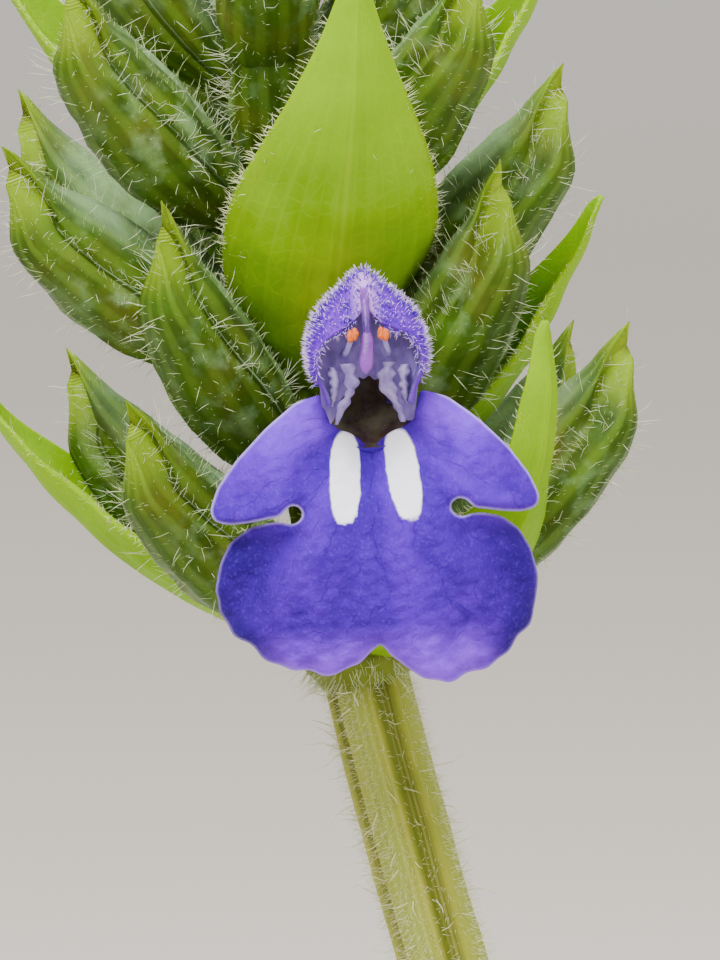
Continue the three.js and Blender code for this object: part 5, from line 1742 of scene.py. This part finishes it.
class PlantSettings(bpy.types.PropertyGroup):
    stem_colour: colour_setting("Stem", "8e9a42", "Colour of the stem's ridges")
    groove_colour: colour_setting("Groove", "4a560c", "Colour of the stem's grooves")
    leaf_colour: colour_setting("Leaf", "366012", "Colour of the leaves")
    leaf_dark: colour_setting("Dark leaf", "24460c", "Colour of the leaves' darker patches")
    vein_colour: colour_setting("Veins", "86a648", "Colour of the leaf veins")
    calyx_colour: colour_setting("Calyx", "3e5c10", "Colour of the calyces")
    calyx_dark: colour_setting("Dark calyx", "2a3e0a", "Colour of the calyces' darker patches")
    bract_colour: colour_setting("Bract", "7ca800", "Colour of the bracts")
    bract_dark: colour_setting("Dark bract", "6c9800", "Colour of the bracts' darker patches")
    hair_length: FloatProperty(
        name="Hair length",
        description="Length of the calyces' long hairs in millimetres, which most others follow",
        default=0.52,
        min=0,
        max=1.5,
    )


class FlowerSettings(bpy.types.PropertyGroup):
    petal_colour: colour_setting("Petal", "420aa0", "Main colour of the corolla")
    petal_dark: colour_setting("Dark petal", "2e0674", "Colour of the corolla's darker patches")
    # the light petal colour is used for pale patches and also for the painted highlights on the lip's folds
    # and lateral lobes
    petal_light: colour_setting("Light petal", "6a20dc", "Colour of the corolla's lighter folds")
    patch_colour: colour_setting("Patches", "f2f3ff", "Colour of the two patches on the lower lip")
    keel_colour: colour_setting("Keel", "d09af0", "Colour of the hood's keel")
    mesh_step: FloatProperty(
        name="Step",
        description="Spacing of the lower lip's points in millimetres",
        default=0.06,
        min=0.04,
        max=0.3,
    )
    papillae: IntProperty(
        name="Papillae",
        description="Number of papillae on the front hood",
        default=1700,
        min=0,
        max=6000,
    )


class StageSettings(bpy.types.PropertyGroup):
    floor_colour: colour_setting("Floor", "e6e0d8", "Colour of the floor and of what lies behind it")
    sky: FloatProperty(
        name="Sky",
        description="Strength of the light from all around",
        default=0.88,
        min=0,
        max=3,
    )
    key_power: FloatProperty(
        name="Key light",
        description="Power of the main lamp",
        default=19,
        min=0,
        unit="POWER",
    )
    fill_power: FloatProperty(
        name="Fill light",
        description="Power of the lamp that fills the shadows",
        default=5,
        min=0,
        unit="POWER",
    )
    back_power: FloatProperty(
        name="Back light",
        description="Power of the lamp behind the plant",
        default=7,
        min=0,
        unit="POWER",
    )


GROUPS = {
    "chia_pot": PotSettings,
    "chia_soil": SoilSettings,
    "chia_plant": PlantSettings,
    "chia_flower": FlowerSettings,
    "chia_stage": StageSettings,
}


# Operators
class CHIA_OT_pot(bpy.types.Operator):
    """Throws the clay pot"""

    bl_idname = "chia.pot"
    bl_label = "Pot"

    def execute(self, context):
        make_pot(context.scene.chia_pot)
        return {"FINISHED"}


class CHIA_OT_soil(bpy.types.Operator):
    """Fills the pot with soil and crumbs"""

    bl_idname = "chia.soil"
    bl_label = "Soil"

    def execute(self, context):
        make_soil(context.scene.chia_soil)
        return {"FINISHED"}


class CHIA_OT_stem(bpy.types.Operator):
    """Grows the ridged stem and its fuzz"""

    bl_idname = "chia.stem"
    bl_label = "Stem"

    def execute(self, context):
        make_stem(context.scene.chia_plant)
        return {"FINISHED"}


class CHIA_OT_leaves(bpy.types.Operator):
    """Grows the ten large leaves"""

    bl_idname = "chia.leaves"
    bl_label = "Leaves"

    def execute(self, context):
        make_leaves(context.scene.chia_plant)
        return {"FINISHED"}


class CHIA_OT_shoots(bpy.types.Operator):
    """Grows the side shoots with their young leaves and calyces"""

    bl_idname = "chia.shoots"
    bl_label = "Side shoots"

    def execute(self, context):
        make_shoots(context.scene.chia_plant)
        return {"FINISHED"}


class CHIA_OT_spike(bpy.types.Operator):
    """Grows the main spike's calyces and their hairs"""

    bl_idname = "chia.spike"
    bl_label = "Main spike"

    def execute(self, context):
        make_spike(context.scene.chia_plant)
        return {"FINISHED"}


class CHIA_OT_bracts(bpy.types.Operator):
    """Grows the main spike's bracts"""

    bl_idname = "chia.bracts"
    bl_label = "Bracts"

    def execute(self, context):
        make_bracts(context.scene.chia_plant)
        return {"FINISHED"}


class CHIA_OT_corollas(bpy.types.Operator):
    """Opens the front flower and the two small side flowers"""

    bl_idname = "chia.corollas"
    bl_label = "Corollas"

    def execute(self, context):
        make_corollas(context.scene.chia_flower)
        return {"FINISHED"}


class CHIA_OT_organs(bpy.types.Operator):
    """Adds the front flower's style and stamens"""

    bl_idname = "chia.organs"
    bl_label = "Style and stamens"

    def execute(self, context):
        make_organs()
        return {"FINISHED"}


class CHIA_OT_stage(bpy.types.Operator):
    """Sets the floor, the lights and the camera"""

    bl_idname = "chia.stage"
    bl_label = "Stage"

    def execute(self, context):
        make_stage(context.scene.chia_stage)
        return {"FINISHED"}


OPERATORS = (
    CHIA_OT_pot,
    CHIA_OT_soil,
    CHIA_OT_stem,
    CHIA_OT_leaves,
    CHIA_OT_shoots,
    CHIA_OT_spike,
    CHIA_OT_bracts,
    CHIA_OT_corollas,
    CHIA_OT_organs,
    CHIA_OT_stage,
)


class CHIA_PT_panel(bpy.types.Panel):
    """Lists the pieces and their settings"""

    bl_label = "Potted Chia"
    bl_idname = "CHIA_PT_panel"
    bl_space_type = "VIEW_3D"
    bl_region_type = "UI"
    bl_category = "Chia"

    def draw(self, context):
        for operator in OPERATORS:
            self.layout.operator(operator.bl_idname)
        for name, group in GROUPS.items():
            box = self.layout.box()
            settings = getattr(context.scene, name)
            for setting in group.__annotations__:
                box.prop(settings, setting)


CLASSES = (*GROUPS.values(), *OPERATORS, CHIA_PT_panel)


def register():
    for made in CLASSES:
        bpy.utils.register_class(made)
    for name, group in GROUPS.items():
        setattr(bpy.types.Scene, name, PointerProperty(type=group))


def unregister():
    for name in GROUPS:
        delattr(bpy.types.Scene, name)
    for made in reversed(CLASSES):
        bpy.utils.unregister_class(made)


def main():
    register()
    bpy.ops.chia.pot()
    bpy.ops.chia.soil()
    bpy.ops.chia.stem()
    bpy.ops.chia.leaves()
    bpy.ops.chia.shoots()
    bpy.ops.chia.spike()
    bpy.ops.chia.bracts()
    bpy.ops.chia.corollas()
    bpy.ops.chia.organs()
    bpy.ops.chia.stage()


if __name__ == "__main__":
    main()
